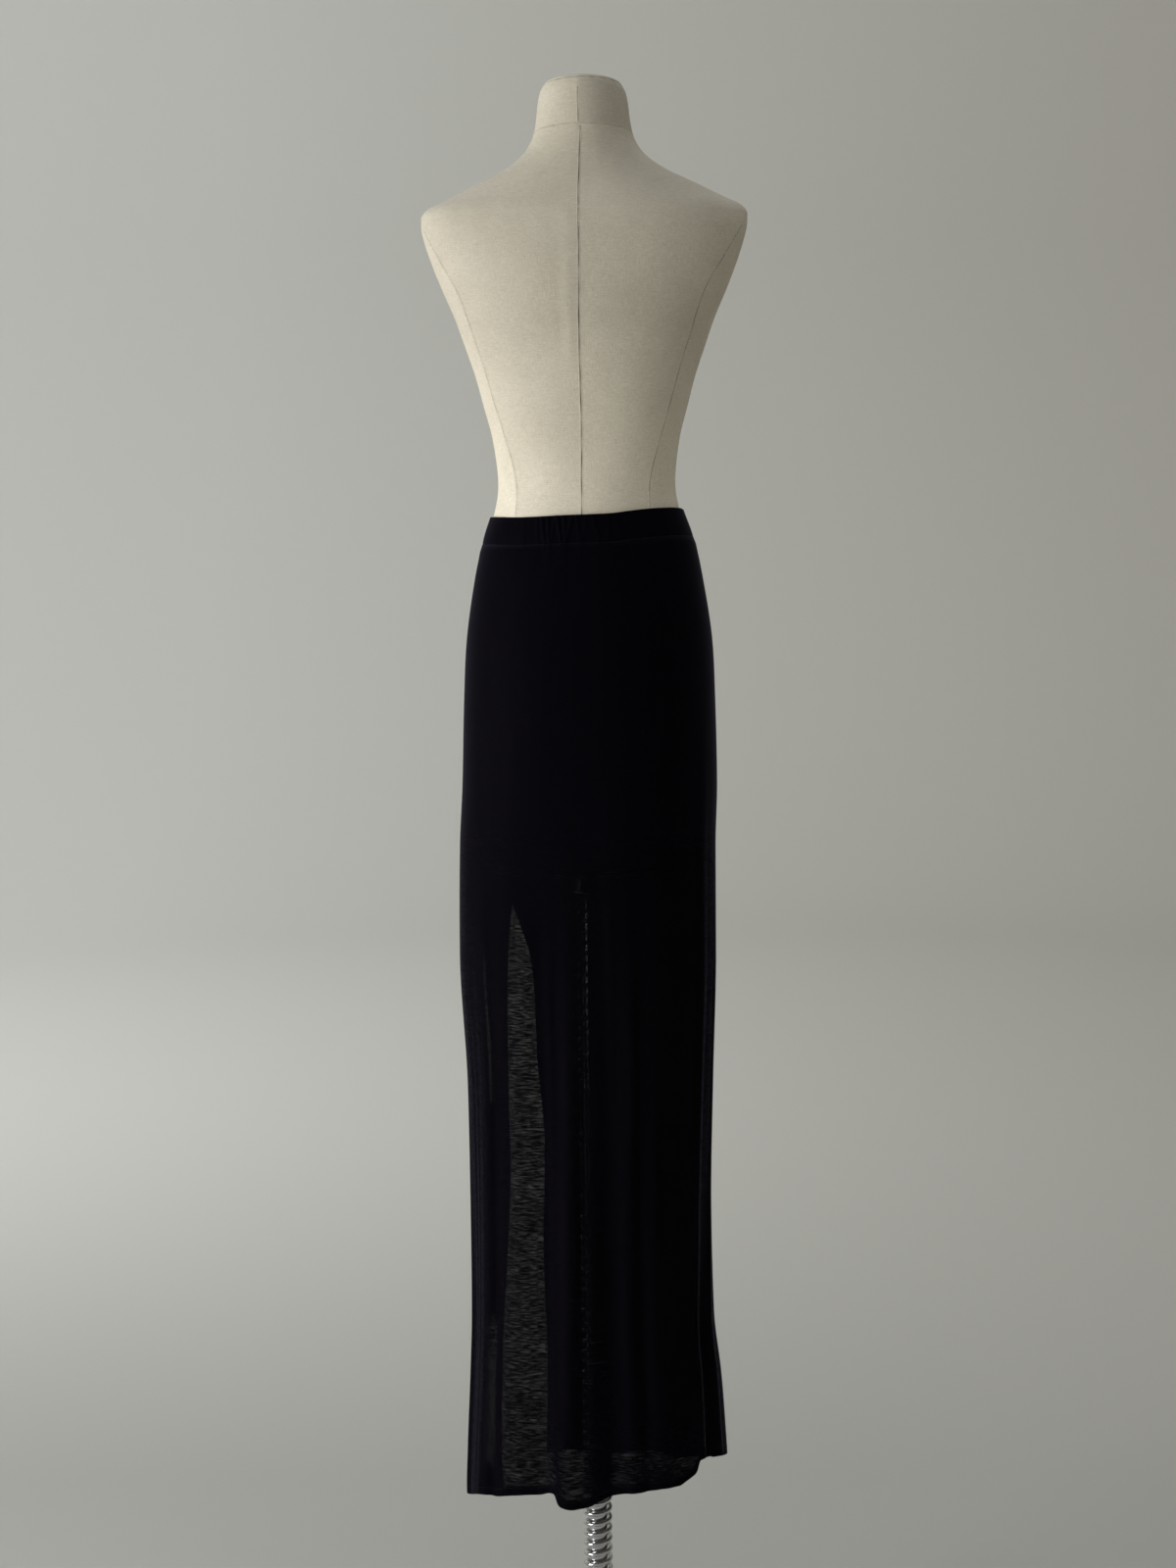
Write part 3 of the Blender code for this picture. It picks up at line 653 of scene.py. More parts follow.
def tube_faces(rings, sides, start=0):
    """Quads round a tube whose points run ring by ring, and its two end faces."""
    last = start + (rings - 1) * sides
    faces = list(grid_faces(rings, sides, closed_columns=True, start=start))
    faces.append(reversed(range(start, start + sides)))
    faces.append(range(last, last + sides))
    return faces


def ring_turns(count):
    return np.linspace(0.0, math.tau, count, endpoint=False)


def turned_points(profile, segments):
    """Points of an outline of (radius, height) turned round the vertical axis, ring by ring."""
    points = []
    for radius, height in profile:
        for turn in ring_turns(segments):
            points.append((radius * math.cos(turn), radius * math.sin(turn), height))
    return points


def place_piece(thing, body, slot, *nodes):
    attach(thing, body)
    if nodes:
        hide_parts(*nodes)
    return thing


def seam_edge(angle, side):
    def edge(z):
        depth = read_table(SKIRT_SECTIONS, z)[3]
        return angle + side * np.degrees(0.5 * SEAM_GAP / depth)
    return edge


def slit_edge(column, side):
    """The slit seam down to the slit's top, and below it one of the slit's two edges."""
    closed_edge = seam_edge(SLIT_SEAM_ANGLE, side)

    def edge(z):
        half_width = read_table(SKIRT_SECTIONS, z)[0]
        open_angle = oval_angle(read_table(SLIT_EDGES, z)[column], half_width)
        closed = closed_edge(z)
        pick = np.maximum if side > 0 else np.minimum
        return np.where(z >= SLIT_TOP, closed, pick(open_angle, closed))
    return edge


def turned_edge():
    """The round of an edge turned inside: how far past the edge, how far inwards."""
    turns = np.radians((45.0, 90.0, 135.0, 180.0))
    return [(TURN_RADIUS * math.sin(turn), TURN_RADIUS * (1 - math.cos(turn))) for turn in turns]


def turned_rows():
    """Rows down a panel: share of the way to the hem, height over it, distance inwards."""
    rows = [(share, 0.0, 0.0) for share in np.linspace(0.0, 1.0, PANEL_ROWS)]
    for past, inward in turned_edge():
        rows.append((1.0, -past, inward))
    for rise in (0.33, 0.67, 0.98, 1.0):
        rows.append((1.0, HEM_TURN * rise, 2 * TURN_RADIUS))
    return np.array(rows)


def turned_columns(count, turn_first, turn_last):
    """Columns across a panel: share of the way, distance along the cloth from it, inwards.

    A turned edge doubles back inside for the width of the slit's hem."""
    middle = [(share, 0.0, 0.0) for share in np.linspace(0.0, 1.0, count)]
    edge = turned_edge()
    for reach in (0.3, 0.65, 1.0):
        edge.append((-SLIT_TURN * reach, 2 * TURN_RADIUS))
    first = [(0.0, -along, inward) for along, inward in reversed(edge)] if turn_first else []
    last = [(1.0, along, inward) for along, inward in edge] if turn_last else []
    return np.array(first + middle + last)


def thinness(rows, angle, z):
    """How much clearer the cloth is in a table's places, fading out at their ends."""
    clear = np.zeros_like(angle)
    for centre, low, high, half_width, most in rows:
        across = (angle - centre) / half_width
        ends = smooth_step((z - low) / THIN_FADE) * smooth_step((high - z) / THIN_FADE)
        clear = clear + most * np.exp(-across * across) * ends
    return clear


def cloth_panel(name, first_edge, last_edge, turn_first, turn_last, material, thin_places=()):
    """One skirt panel as a thin shell with its hem, and any slit edge, turned to the inside."""
    top = BAND_LEVEL - BAND_HEIGHT
    lowest = SKIRT_SECTIONS[-1][0]
    span = float(last_edge(np.array(SPAN_HEIGHT)) - first_edge(np.array(SPAN_HEIGHT)))
    count = max(int(span / DEGREES_PER_COLUMN), FEWEST_COLUMNS)
    columns = turned_columns(count, turn_first, turn_last)
    rows = turned_rows()
    share, rise, row_inward = (rows[:, index][:, None] for index in range(3))
    across, along, column_inward = (columns[:, index][None, :] for index in range(3))
    level = top + (lowest - top) * share
    first = first_edge(level)
    last = last_edge(level)
    half_width, _, _, front = read_table(SKIRT_SECTIONS, level)
    radius = 0.5 * (half_width + front)
    pulled_first = turn_first * TURN_RADIUS * np.maximum(1 - across * 2, 0.0)
    pulled_last = turn_last * TURN_RADIUS * np.maximum(across * 2 - 1, 0.0)
    moved = along + pulled_first - pulled_last
    angle = first + (last - first) * across + np.degrees(moved / radius)
    panel_top = band_top(angle) - BAND_HEIGHT - SEAM_GAP
    z = panel_top + (hem_height(angle) - panel_top) * share + rise
    width = np.radians(last - first) * radius
    edge_distance = np.minimum(
        np.where(turn_first, 1.0, across * width),
        np.where(turn_last, 1.0, (1.0 - across) * width),
    )
    dip = SEAM_DIP * np.exp(-(edge_distance / SEAM_DIP_WIDTH) ** 2)
    below_band = panel_top - z
    ease = BAND_EASE * np.exp(-((below_band - BAND_EASE_PLACE) / BAND_EASE_REACH) ** 2)
    held = BAND_HOLD * np.exp(-(below_band / BAND_HOLD_REACH) ** 2)
    pucker = PUCKER * gather_shift(angle, 1.0) * np.exp(-below_band / PUCKER_REACH)
    outward = ease - held + pucker - dip - row_inward - column_inward
    points = skirt_surface(angle, z)
    points = points + surface_normal(skirt_surface, angle, z) * outward[..., None]
    faces = grid_faces(*points.shape[:2])
    panel = add_mesh(name, points.reshape(-1, 3), faces, material)
    thin = panel.data.attributes.new("thin", "FLOAT", "POINT")
    thin.data.foreach_set("value", thinness(thin_places, angle, z).ravel())
    wall = panel.modifiers.new("jersey", "SOLIDIFY")
    wall.thickness = JERSEY
    wall.offset = 0.0
    return panel


def casing_outline():
    """Across the casing: height over its lower edge, distance inwards, share on the outer side."""
    corner = CASING * 0.5
    flat = BAND_HEIGHT - CASING
    outline = [(corner + flat * share, 0.0, 1.0) for share in np.linspace(0.0, 1.0, 16)]
    turns = (30.0, 60.0, 90.0, 120.0, 150.0)
    for turn in turns:
        round_in = corner * (1 - math.cos(math.radians(turn)))
        past = corner * math.sin(math.radians(turn))
        outline.append((BAND_HEIGHT - corner + past, round_in, 1.0 - turn / 180.0))
    for share in np.linspace(1.0, 0.0, 8):
        outline.append((corner + flat * share, CASING, 0.0))
    for turn in reversed(turns):
        round_in = corner * (1 - math.cos(math.radians(turn)))
        past = corner * math.sin(math.radians(turn))
        outline.append((corner - past, round_in, 1.0 - turn / 180.0))
    return np.array(outline)


def plain_skirt(angle, z):
    """Points on the skirt's sections, without folds."""
    x, y = oval_point(angle, *read_table(SKIRT_SECTIONS, z))
    return np.stack([x, y, z + np.zeros_like(x)], axis=-1)


def casing_band(name, material):
    """The waistband: a flat tube of jersey round the elastic, gathered at the centre back."""
    outline = casing_outline()
    rise, inward, front = (outline[:, index][:, None] for index in range(3))
    angle = np.linspace(0.0, 360.0, BAND_COLUMNS, endpoint=False)[None, :] + 0 * rise
    z = band_top(angle) - BAND_HEIGHT + rise
    share = rise / BAND_HEIGHT
    puffed = CASING_PUFF * np.sin(math.pi * np.clip(share, 0, 1))
    strength = GATHER_AT_TOP - GATHER_LOST_BELOW * (1.0 - share)
    outward = (puffed + gather_shift(angle, 1.0 - share) * strength) * front - inward
    points = plain_skirt(angle, z)
    points = points + surface_normal(plain_skirt, angle, z) * outward[..., None]
    faces = grid_faces(*points.shape[:2], closed_rows=True, closed_columns=True)
    return add_mesh(name, points.reshape(-1, 3), faces[:, ::-1], material)


def stitch_row(name, angles, heights, material):
    """A row of short stitches along a line on the skirt's outer side."""
    points = skirt_surface(angles, heights)
    normals = surface_normal(skirt_surface, angles, heights)
    points = points + normals * JERSEY * 0.5
    steps = np.linalg.norm(np.diff(points, axis=0), axis=1)
    reach = np.concatenate([[0.0], np.cumsum(steps)])
    shares, lifts, widths = np.array(STITCH_SHAPE).T
    vertices = []
    faces = []
    for index in range(int(reach[-1] / STITCH_STEP)):
        faces.extend(tube_faces(len(STITCH_SHAPE), STITCH_SIDES, len(vertices)))
        places = index * STITCH_STEP + STITCH_START + STITCH_LENGTH * shares
        centre = np.stack([np.interp(places, reach, points[:, axis]) for axis in range(3)], axis=-1)
        up = np.stack([np.interp(places, reach, normals[:, axis]) for axis in range(3)], axis=-1)
        side = np.cross(centre[-1] - centre[0], up[2])
        side = side / np.linalg.norm(side)
        for place, lift, width, normal in zip(centre, lifts, widths, up):
            for turn in ring_turns(STITCH_SIDES):
                offset = side * math.cos(turn) * width + normal * (math.sin(turn) * width + lift)
                vertices.append(place + offset * STITCH_RADIUS)
    return add_mesh(name, vertices, faces, material)


def lathe(name, profile, material, segments=TURNED_SEGMENTS):
    """A turned solid from (radius, height) points, from the bottom centre to the top centre."""
    faces = tube_faces(len(profile), segments)
    return add_mesh(name, turned_points(profile, segments), faces, material)


def rounded_profile(corners, radius, steps=5):
    """Rounds the corners of a (radius, height) outline between its two ends."""
    result = [corners[0]]
    for before, corner, after in zip(corners, corners[1:], corners[2:]):
        corner = Vector(corner)
        to_before = Vector(before) - corner
        to_after = Vector(after) - corner
        reach = min(radius, 0.45 * to_before.length, 0.45 * to_after.length)
        start = corner + to_before.normalized() * reach
        end = corner + to_after.normalized() * reach
        for step in range(steps + 1):
            t = step / steps
            point = start * (1 - t) ** 2 + corner * 2 * t * (1 - t) + end * t * t
            result.append(tuple(point))
    result.append(corners[-1])
    return result


# Materials

def new_material(name, colour, roughness, specular=0.5, metallic=0.0):
    material = bpy.data.materials.new(name)
    material.use_nodes = True
    shader = material.node_tree.nodes["Principled BSDF"]
    shader.inputs["Base Color"].default_value = (*colour, 1.0)
    shader.inputs["Roughness"].default_value = roughness
    shader.inputs["Specular IOR Level"].default_value = specular
    shader.inputs["Metallic"].default_value = metallic
    return material, material.node_tree, shader


def feed(tree, source, target):
    """Links a node's output to an input, or sets the input to a plain value."""
    if isinstance(source, bpy.types.NodeSocket):
        tree.links.new(source, target)
    else:
        target.default_value = source


def add_node(tree, kind, inputs=None, **values):
    """Adds a node. values set its properties, inputs its inputs, each by a value or an output."""
    node = tree.nodes.new(kind)
    for key, value in values.items():
        setattr(node, key, value)
    for key, source in (inputs or {}).items():
        feed(tree, source, node.inputs[key])
    return node


def object_place(tree):
    return add_node(tree, "ShaderNodeTexCoord").outputs["Object"]


def one_axis(tree, place, axis):
    return add_node(tree, "ShaderNodeSeparateXYZ", {"Vector": place}).outputs[axis]


def attribute_value(tree, name):
    return add_node(tree, "ShaderNodeAttribute", attribute_name=name).outputs["Fac"]


def combine(tree, operation, *terms, clamp=False):
    """The result of a sum, product or the like of outputs and plain numbers."""
    inputs = dict(enumerate(terms))
    node = add_node(tree, "ShaderNodeMath", inputs, operation=operation, use_clamp=clamp)
    return node.outputs[0]


def mix_colours(tree, factor, first, second):
    inputs = {"Factor": factor, "A": first, "B": second}
    return add_node(tree, "ShaderNodeMix", inputs, data_type="RGBA").outputs["Result"]


def add_bump(tree, shader, height, strength, distance):
    inputs = {"Height": height, "Strength": strength, "Distance": distance}
    feed(tree, add_node(tree, "ShaderNodeBump", inputs).outputs[0], shader.inputs["Normal"])


def stretched_noise(tree, coordinates, scale, noise_scale, detail, roughness=0.55):
    mapping = add_node(tree, "ShaderNodeMapping", {"Vector": coordinates, "Scale": scale})
    inputs = {
        "Vector": mapping.outputs[0], "Scale": noise_scale,
        "Detail": detail, "Roughness": roughness,
    }
    return add_node(tree, "ShaderNodeTexNoise", inputs).outputs["Fac"]


def map_range(tree, value, low, high, to_low, to_high):
    inputs = {
        "Value": value, "From Min": low, "From Max": high, "To Min": to_low, "To Max": to_high,
    }
    return add_node(tree, "ShaderNodeMapRange", inputs).outputs[0]


def jersey_material():
    """Thin black jersey: matt, a little violet, see-through in short streaks along the courses.

    It hides the form where it lies on it. A thin attribute of 1 makes it nearly clear, and one
    below 0 makes it less see-through, as painted shade."""
    material, tree, shader = new_material("black_jersey", (0.0022, 0.0018, 0.0032), 0.60, 0.008)
    shader.inputs["Sheen Weight"].default_value = 0.080
    shader.inputs["Sheen Roughness"].default_value = 0.35
    shader.inputs["Sheen Tint"].default_value = (0.70, 0.63, 1.0, 1.0)
    place = object_place(tree)
    courses = stretched_noise(tree, place, (0.8, 0.8, 9.0), 125.0, 3.0, 0.60)
    slubs = stretched_noise(tree, place, (1.0, 1.0, 3.0), 30.0, 2.0)
    wales = stretched_noise(tree, place, (1.0, 1.0, 0.05), 95.0, 3.0)
    tone = mix_colours(tree, wales, (0.0016, 0.0013, 0.0026, 1.0), (0.0029, 0.0024, 0.0046, 1.0))
    feed(tree, tone, shader.inputs["Base Color"])
    open_rows = map_range(tree, courses, 0.42, 0.62, *SEE_THROUGH)
    uneven = map_range(tree, slubs, 0.30, 0.70, 0.80, 1.20)
    hanging = map_range(tree, one_axis(tree, place, "Z"), *LINED_HEIGHTS, 1.0, 0.0)
    streaks = combine(tree, "MULTIPLY", open_rows, uneven)
    clear = combine(tree, "MULTIPLY", streaks, hanging)
    # A thin value below 0 lessens the see-through, as painted shade
    thin = combine(tree, "MULTIPLY", attribute_value(tree, "thin"), THIN_SHARE)
    either = combine(tree, "ADD", clear, thin, clamp=True)
    feed(tree, combine(tree, "SUBTRACT", 1.0, either), shader.inputs["Alpha"])
    knit = stretched_noise(tree, place, (1.0, 1.0, 2.4), 900.0, 2.0)
    add_bump(tree, shader, knit, 0.25, 0.0006)
    return material


def canvas_material():
    """Cream linen canvas with a fine plain weave, slubs and faint marks, with painted light making
    it brighter towards the waist and painted shade in its seams.
    """
    material, tree, shader = new_material("linen_canvas", (0.62, 0.56, 0.45), 0.9, 0.15)
    shader.inputs["Sheen Weight"].default_value = 0.08
    place = object_place(tree)
    warp = stretched_noise(tree, place, (9.0, 9.0, 0.7), 210.0, 2.0)
    weft = stretched_noise(tree, place, (0.7, 0.7, 9.0), 210.0, 2.0)
    weave = combine(tree, "ADD", warp, weft)
    mottle = stretched_noise(tree, place, (1.0, 1.0, 1.0), 9.0, 4.0, 0.6)
    speck = stretched_noise(tree, place, (1.0, 1.0, 1.0), 240.0, 2.0)
    shade = map_range(tree, combine(tree, "ADD", weave, mottle), 1.05, 1.95, 0.0, 1.0)
    tone = add_node(tree, "ShaderNodeValToRGB", {"Fac": shade})
    tone.color_ramp.elements[0].color = (0.490, 0.450, 0.362, 1.0)
    tone.color_ramp.elements[1].color = (0.745, 0.692, 0.585, 1.0)
    flecks = map_range(tree, speck, 0.68, 0.78, 0.0, 0.35)
    flecked = mix_colours(tree, flecks, tone.outputs["Color"], (0.36, 0.31, 0.23, 1.0))
    # Painted shade: the seams' sunken middles and the neck's right half are mixed towards dark
    # brown
    painted_shade = attribute_value(tree, "painted_shade")
    with_painted_shade = mix_colours(tree, painted_shade, flecked, (0.10, 0.085, 0.065, 1.0))
    # Painted light: the canvas is made brighter towards the waist
    painted_waist_light = map_range(tree, one_axis(tree, place, "Z"), *PAINTED_LIGHT_HEIGHTS, 1.0, PAINTED_LIGHT_GAIN)
    tinted = add_node(tree, "ShaderNodeHueSaturation", {"Color": with_painted_shade, "Value": painted_waist_light})
    feed(tree, tinted.outputs["Color"], shader.inputs["Base Color"])
    height = combine(tree, "MULTIPLY_ADD", weave, mottle, mottle)
    add_bump(tree, shader, height, 0.85, 0.0006)
    return material


def chrome_material():
    material, tree, shader = new_material("chrome", (0.60, 0.60, 0.61), 0.14, 0.5, 1.0)
    haze = stretched_noise(tree, object_place(tree), (1.0, 1.0, 1.0), 45.0, 3.0)
    feed(tree, map_range(tree, haze, 0.3, 0.7, 0.09, 0.22), shader.inputs["Roughness"])
    return material


def knob_material():
    material, tree, shader = new_material("black_knob", (0.018, 0.018, 0.019), 0.4, 0.45)
    grain = stretched_noise(tree, object_place(tree), (1.0, 1.0, 1.0), 700.0, 2.0)
    add_bump(tree, shader, grain, 0.2, 0.0003)
    return material


# Dress form

def surface_tree(thing):
    """A search tree of a piece's final surface."""
    graph = bpy.context.evaluated_depsgraph_get()
    graph.update()
    work = bmesh.new()
    work.from_object(thing, graph)
    tree = BVHTree.FromBMesh(work)
    work.free()
    return tree


def seam_strip(name, surface, rays, material, depth, closed=False):
    """Two rolled lips of canvas and the sunken middle between them, along points that rays find.

    depth, from 0 to 1, says how much painted shade the sunken middle gets; it changes along the
    seam."""
    hits = [surface.ray_cast(Vector(origin), Vector(way)) for origin, way in rays]
    hits = [(hit[0], hit[1]) for hit in hits if hit[0] is not None]
    vertices = []
    painted_shades = []
    count = len(hits)
    for index, (point, normal) in enumerate(hits):
        before = hits[(index - 1) % count if closed else max(index - 1, 0)][0]
        after = hits[(index + 1) % count if closed else min(index + 1, count - 1)][0]
        side = (after - before).normalized().cross(normal).normalized()
        from_end = min(index, count - 1 - index)
        fade = 1.0 if closed else min(1.0, 0.15 + 0.3 * from_end)
        uneven = 0.72 + 0.20 * math.sin(index * 0.83) + 0.14 * math.sin(index * 0.31 + 1.0)
        wander = 0.10 * math.sin(index * 0.57) + 0.08 * math.sin(index * 0.21 + 2.0)
        for across, lift, painted_shade in SEAM_SHAPE:
            place = across + wander * (1.0 - abs(across))
            vertices.append(
                point + side * SEAM_HALF_WIDTH * place + normal * SEAM_LIP * lift * fade
            )
            painted_shades.append(min(1.0, painted_shade * depth * uneven))
    faces = grid_faces(count, len(SEAM_SHAPE), closed_rows=closed)
    strip = add_mesh(name, vertices, faces, material)
    attribute = strip.data.attributes.new("painted_shade", "FLOAT", "POINT")
    attribute.data.foreach_set("value", painted_shades)
    return strip


def line_rays(rows, side, back, step=0.004):
    """Rays that find a seam given by its distance from the centre line at each height."""
    heights = np.arange(rows[-1][0], rows[0][0], step)
    places = read_table(rows, heights)[0]
    way = (0.0, -1.0 if back else 1.0, 0.0)
    start = 1.0 if back else -1.0
    return [((side * x, start, z), way) for x, z in zip(places, heights)]


def build_torso(angle, canvas):
    """The torso and hips in one piece, over the bore for the pole."""
    heights = np.concatenate([
        np.linspace(low, high, count, endpoint=high == NECK_TOP)
        for low, high, count in TORSO_ROWS
    ])[:, None]
    bore = turned_points((
        (ON_AXIS, FORM_BORE_TOP), (FORM_BORE_RADIUS, FORM_BORE_TOP),
        (FORM_BORE_RADIUS, FORM_UNDERSIDE + 0.001), (FORM_BORE_RADIUS + 0.001, FORM_UNDERSIDE),
    ), FORM_COLUMNS)
    closing = [form_surface(angle, np.full((1, 1), NECK_TOP), share, lift) for share, lift in (
        (0.985, 0.0004), (0.96, 0.0002), (0.90, -0.0004), (0.01, -0.0004),
    )]
    points = np.concatenate([
        np.array(bore).reshape(-1, FORM_COLUMNS, 3), form_surface(angle, heights), *closing,
    ])
    faces = grid_faces(*points.shape[:2], closed_columns=True)
    torso = add_mesh("form_torso", points.reshape(-1, 3), faces, canvas)
    x, y, z = np.moveaxis(points, -1, 0)
    seam_height = NECK_SEAM_HEIGHT + NECK_SEAM_TILT * (y - NECK_CENTRE)
    # Painted shade on the neck's right half above the neck seam, stored with the seams' painted
    # shade
    painted_neck_shade = NECK_PAINTED_SHADE * ((x < NECK_PAINTED_SHADE_EDGE) & (y > 0.0) & (z > seam_height))
    attribute = torso.data.attributes.new("painted_shade", "FLOAT", "POINT")
    attribute.data.foreach_set("value", painted_neck_shade.reshape(-1))
    nodes = ("torso", "hip_left", "hip_back", "hip_right", "hip_front")
    return place_piece(torso, "form", "canvas", *nodes)


def build_neck_cap(angle, canvas):
    rise = CAP_SECTIONS[-1][0]
    lifts = np.linspace(0.0, rise, 20)[:, None]
    shares = read_table(CAP_SECTIONS, lifts)[0]
    dome = form_surface(angle, NECK_TOP + 0 * lifts, shares, lifts + SEAM_GAP)
    end = form_surface(angle, np.full((1, 1), NECK_TOP), 0.02, rise + 2 * SEAM_GAP)
    points = np.concatenate([dome, end])
    faces = tube_faces(*points.shape[:2])
    cap = add_mesh("form_neck_cap", points.reshape(-1, 3), faces, canvas)
    place_piece(cap, "form", "canvas", "neck_cap")


def ring_rays(height, tilt, count=160):
    """Rays that find a tilted ring seam round the neck from outside."""
    rays = []
    for turn in ring_turns(count):
        way = Vector((-math.cos(turn), -math.sin(turn), -tilt * math.sin(turn))).normalized()
        rays.append((Vector((0.0, NECK_CENTRE, height)) - way * 0.3, way))
    return rays


def build_seams(torso, canvas):
    """The seams sewn into the canvas: name, rays that find it, how much painted shade its sunken
    middle gets, whether it is a ring.
    """
    surface = surface_tree(torso)
    seams = [
        ("form_seam_back", line_rays(CENTRE_SEAM, 1.0, True), 0.95, False),
        ("form_seam_front", line_rays(CENTRE_SEAM, 1.0, False), 0.8, False),
        ("form_seam_neck", line_rays(NECK_CENTRE_SEAM, 1.0, True), 0.6, False),
    ]
    # Painted shade: the right seams, on the side away from the window, are darker than the left
    for word, side, depth in (("left", 1.0, 0.30), ("right", -1.0, 0.55)):
        back = line_rays(PRINCESS_BACK, side, True)
        front = line_rays(PRINCESS_FRONT, side, False)
        seams.append((f"form_princess_back_{word}", back, depth, False))
        seams.append((f"form_princess_front_{word}", front, 0.45, False))
    neck = ring_rays(NECK_SEAM_HEIGHT, NECK_SEAM_TILT)
    cap = ring_rays(NECK_TOP - 0.0008, NECK_TILT)
    seams.append(("form_neck_seam", neck, 0.35, True))
    seams.append(("form_cap_seam", cap, 0.55, True))
    for name, rays, depth, closed in seams:
        strip = seam_strip(name, surface, rays, canvas, depth, closed)
        place_piece(strip, "form", "canvas")


def build_form(canvas):
    angle = np.degrees(ring_turns(FORM_COLUMNS))[None, :]
    torso = build_torso(angle, canvas)
    build_neck_cap(angle, canvas)
    build_seams(torso, canvas)


# Stand

def build_stand(chrome, knob):
    low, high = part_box("pole")
    pole = [(ON_AXIS, low[2]), (high[0], low[2]), (high[0], high[2]), (ON_AXIS, high[2])]
    turned_piece("stand_pole", pole, 0.0015, chrome, "pole")
    place_piece(wire_coil(chrome), "stand", "chrome", "coil")
    low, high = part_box("base_plate")
    radius = high[0]
    base = [
        (ON_AXIS, low[2]), (radius, low[2]), (radius, high[2] - 0.004),
        (radius - 0.012, high[2]), (ON_AXIS, high[2]),
    ]
    turned_piece("stand_base_plate", base, 0.006, chrome, "base_plate", 160)
    low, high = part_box("boss")
    radius = high[0]
    boss = [
        (ON_AXIS, low[2]), (radius, low[2]), (radius, low[2] + 0.010),
        (radius - 0.003, low[2] + 0.013), (radius - 0.005, high[2] - 0.010),
        (radius - 0.012, high[2]), (ON_AXIS, high[2]),
    ]
    turned_piece("stand_boss", boss, 0.003, chrome, "boss")
    build_clamp(chrome, knob)


def turned_piece(name, outline, rounding, chrome, node, segments=TURNED_SEGMENTS):
    """A turned piece of the stand with its edges rounded."""
    piece = lathe(name, rounded_profile(outline, rounding), chrome, segments)
    place_piece(piece, "stand", "chrome", node)


def wire_coil(material):
    """The right-handed coil of wire wound round the pole."""
    low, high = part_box("coil")
    start = low[2] + COIL_WIRE
    turns = (high[2] - low[2] - 2 * COIL_WIRE) / COIL_PITCH
    count = int(turns * COIL_SEGMENTS)
    centre_radius = COIL_OUTER - COIL_WIRE
    climb = COIL_PITCH / (math.tau * centre_radius)
    slope = math.atan(climb)
    step = np.arange(count + 1)
    turn = math.tau * step / COIL_SEGMENTS
    outward = np.stack([np.cos(turn), np.sin(turn), 0 * turn], axis=-1)
    tangent = np.stack([
        -np.sin(turn) * math.cos(slope), np.cos(turn) * math.cos(slope),
        math.sin(slope) + 0 * turn,
    ], axis=-1)
    upward = np.cross(outward, tangent)
    centre = outward * centre_radius
    centre[:, 2] = start + COIL_PITCH * step / COIL_SEGMENTS
    taper = np.minimum(1.0, 0.35 + 0.25 * np.minimum(step, count - step))[:, None]
    points = []
    for around in ring_turns(COIL_SIDES):
        ring = outward * math.cos(around) + upward * math.sin(around)
        points.append(centre + ring * COIL_WIRE * taper)
    points = np.stack(points, axis=1)
    faces = tube_faces(*points.shape[:2])
    return add_mesh("stand_coil", points.reshape(-1, 3), faces, material)


def build_clamp(chrome, knob):
    """The clamp ring under the form and its thumb screw."""
    low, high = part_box("collar")
    outer = high[0]
    inner = COIL_OUTER + COLLAR_CLEARANCE
    outline = [
        (inner, low[2]), (outer - COLLAR_BEVEL, low[2]), (outer, low[2] + COLLAR_BEVEL),
        (outer, high[2] - COLLAR_BEVEL), (outer - COLLAR_BEVEL, high[2]), (inner, high[2]),
    ]
    points = turned_points(outline, TURNED_SEGMENTS)
    faces = grid_faces(len(outline), TURNED_SEGMENTS, closed_rows=True, closed_columns=True)
    collar = add_mesh("clamp_collar", points, faces, chrome, smooth=False)
    place_piece(collar, "clamp", "chrome", "collar")

    low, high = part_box("thumb_screw")
    middle = 0.5 * (low[2] + high[2])
    knob_radius = 0.5 * (high[2] - low[2])
    reach = high[1] - low[1]
    knob_start = reach - KNOB_LENGTH
    profile = rounded_profile([
        (0.0003, 0.0), (SHANK_RADIUS, 0.0), (SHANK_RADIUS, knob_start),
        (knob_radius - 0.001, knob_start), (knob_radius, reach - KNOB_LENGTH * 0.5),
        (knob_radius - 0.001, reach), (0.0003, reach),
    ], 0.0012)
    screw = lathe("clamp_thumb_screw", profile, knob, 72)
    for vertex in screw.data.vertices:
        x, y, z = vertex.co
        if math.hypot(x, y) > 1.5 * SHANK_RADIUS:
            flute = 1.0 - FLUTE_DEPTH * (0.5 + 0.5 * math.cos(FLUTES * math.atan2(y, x)))
            x *= flute
            y *= flute
        vertex.co = (x, high[1] - z, middle + y)
    screw.data.flip_normals()
    place_piece(screw, "clamp", "knob", "thumb_screw")


# Skirt

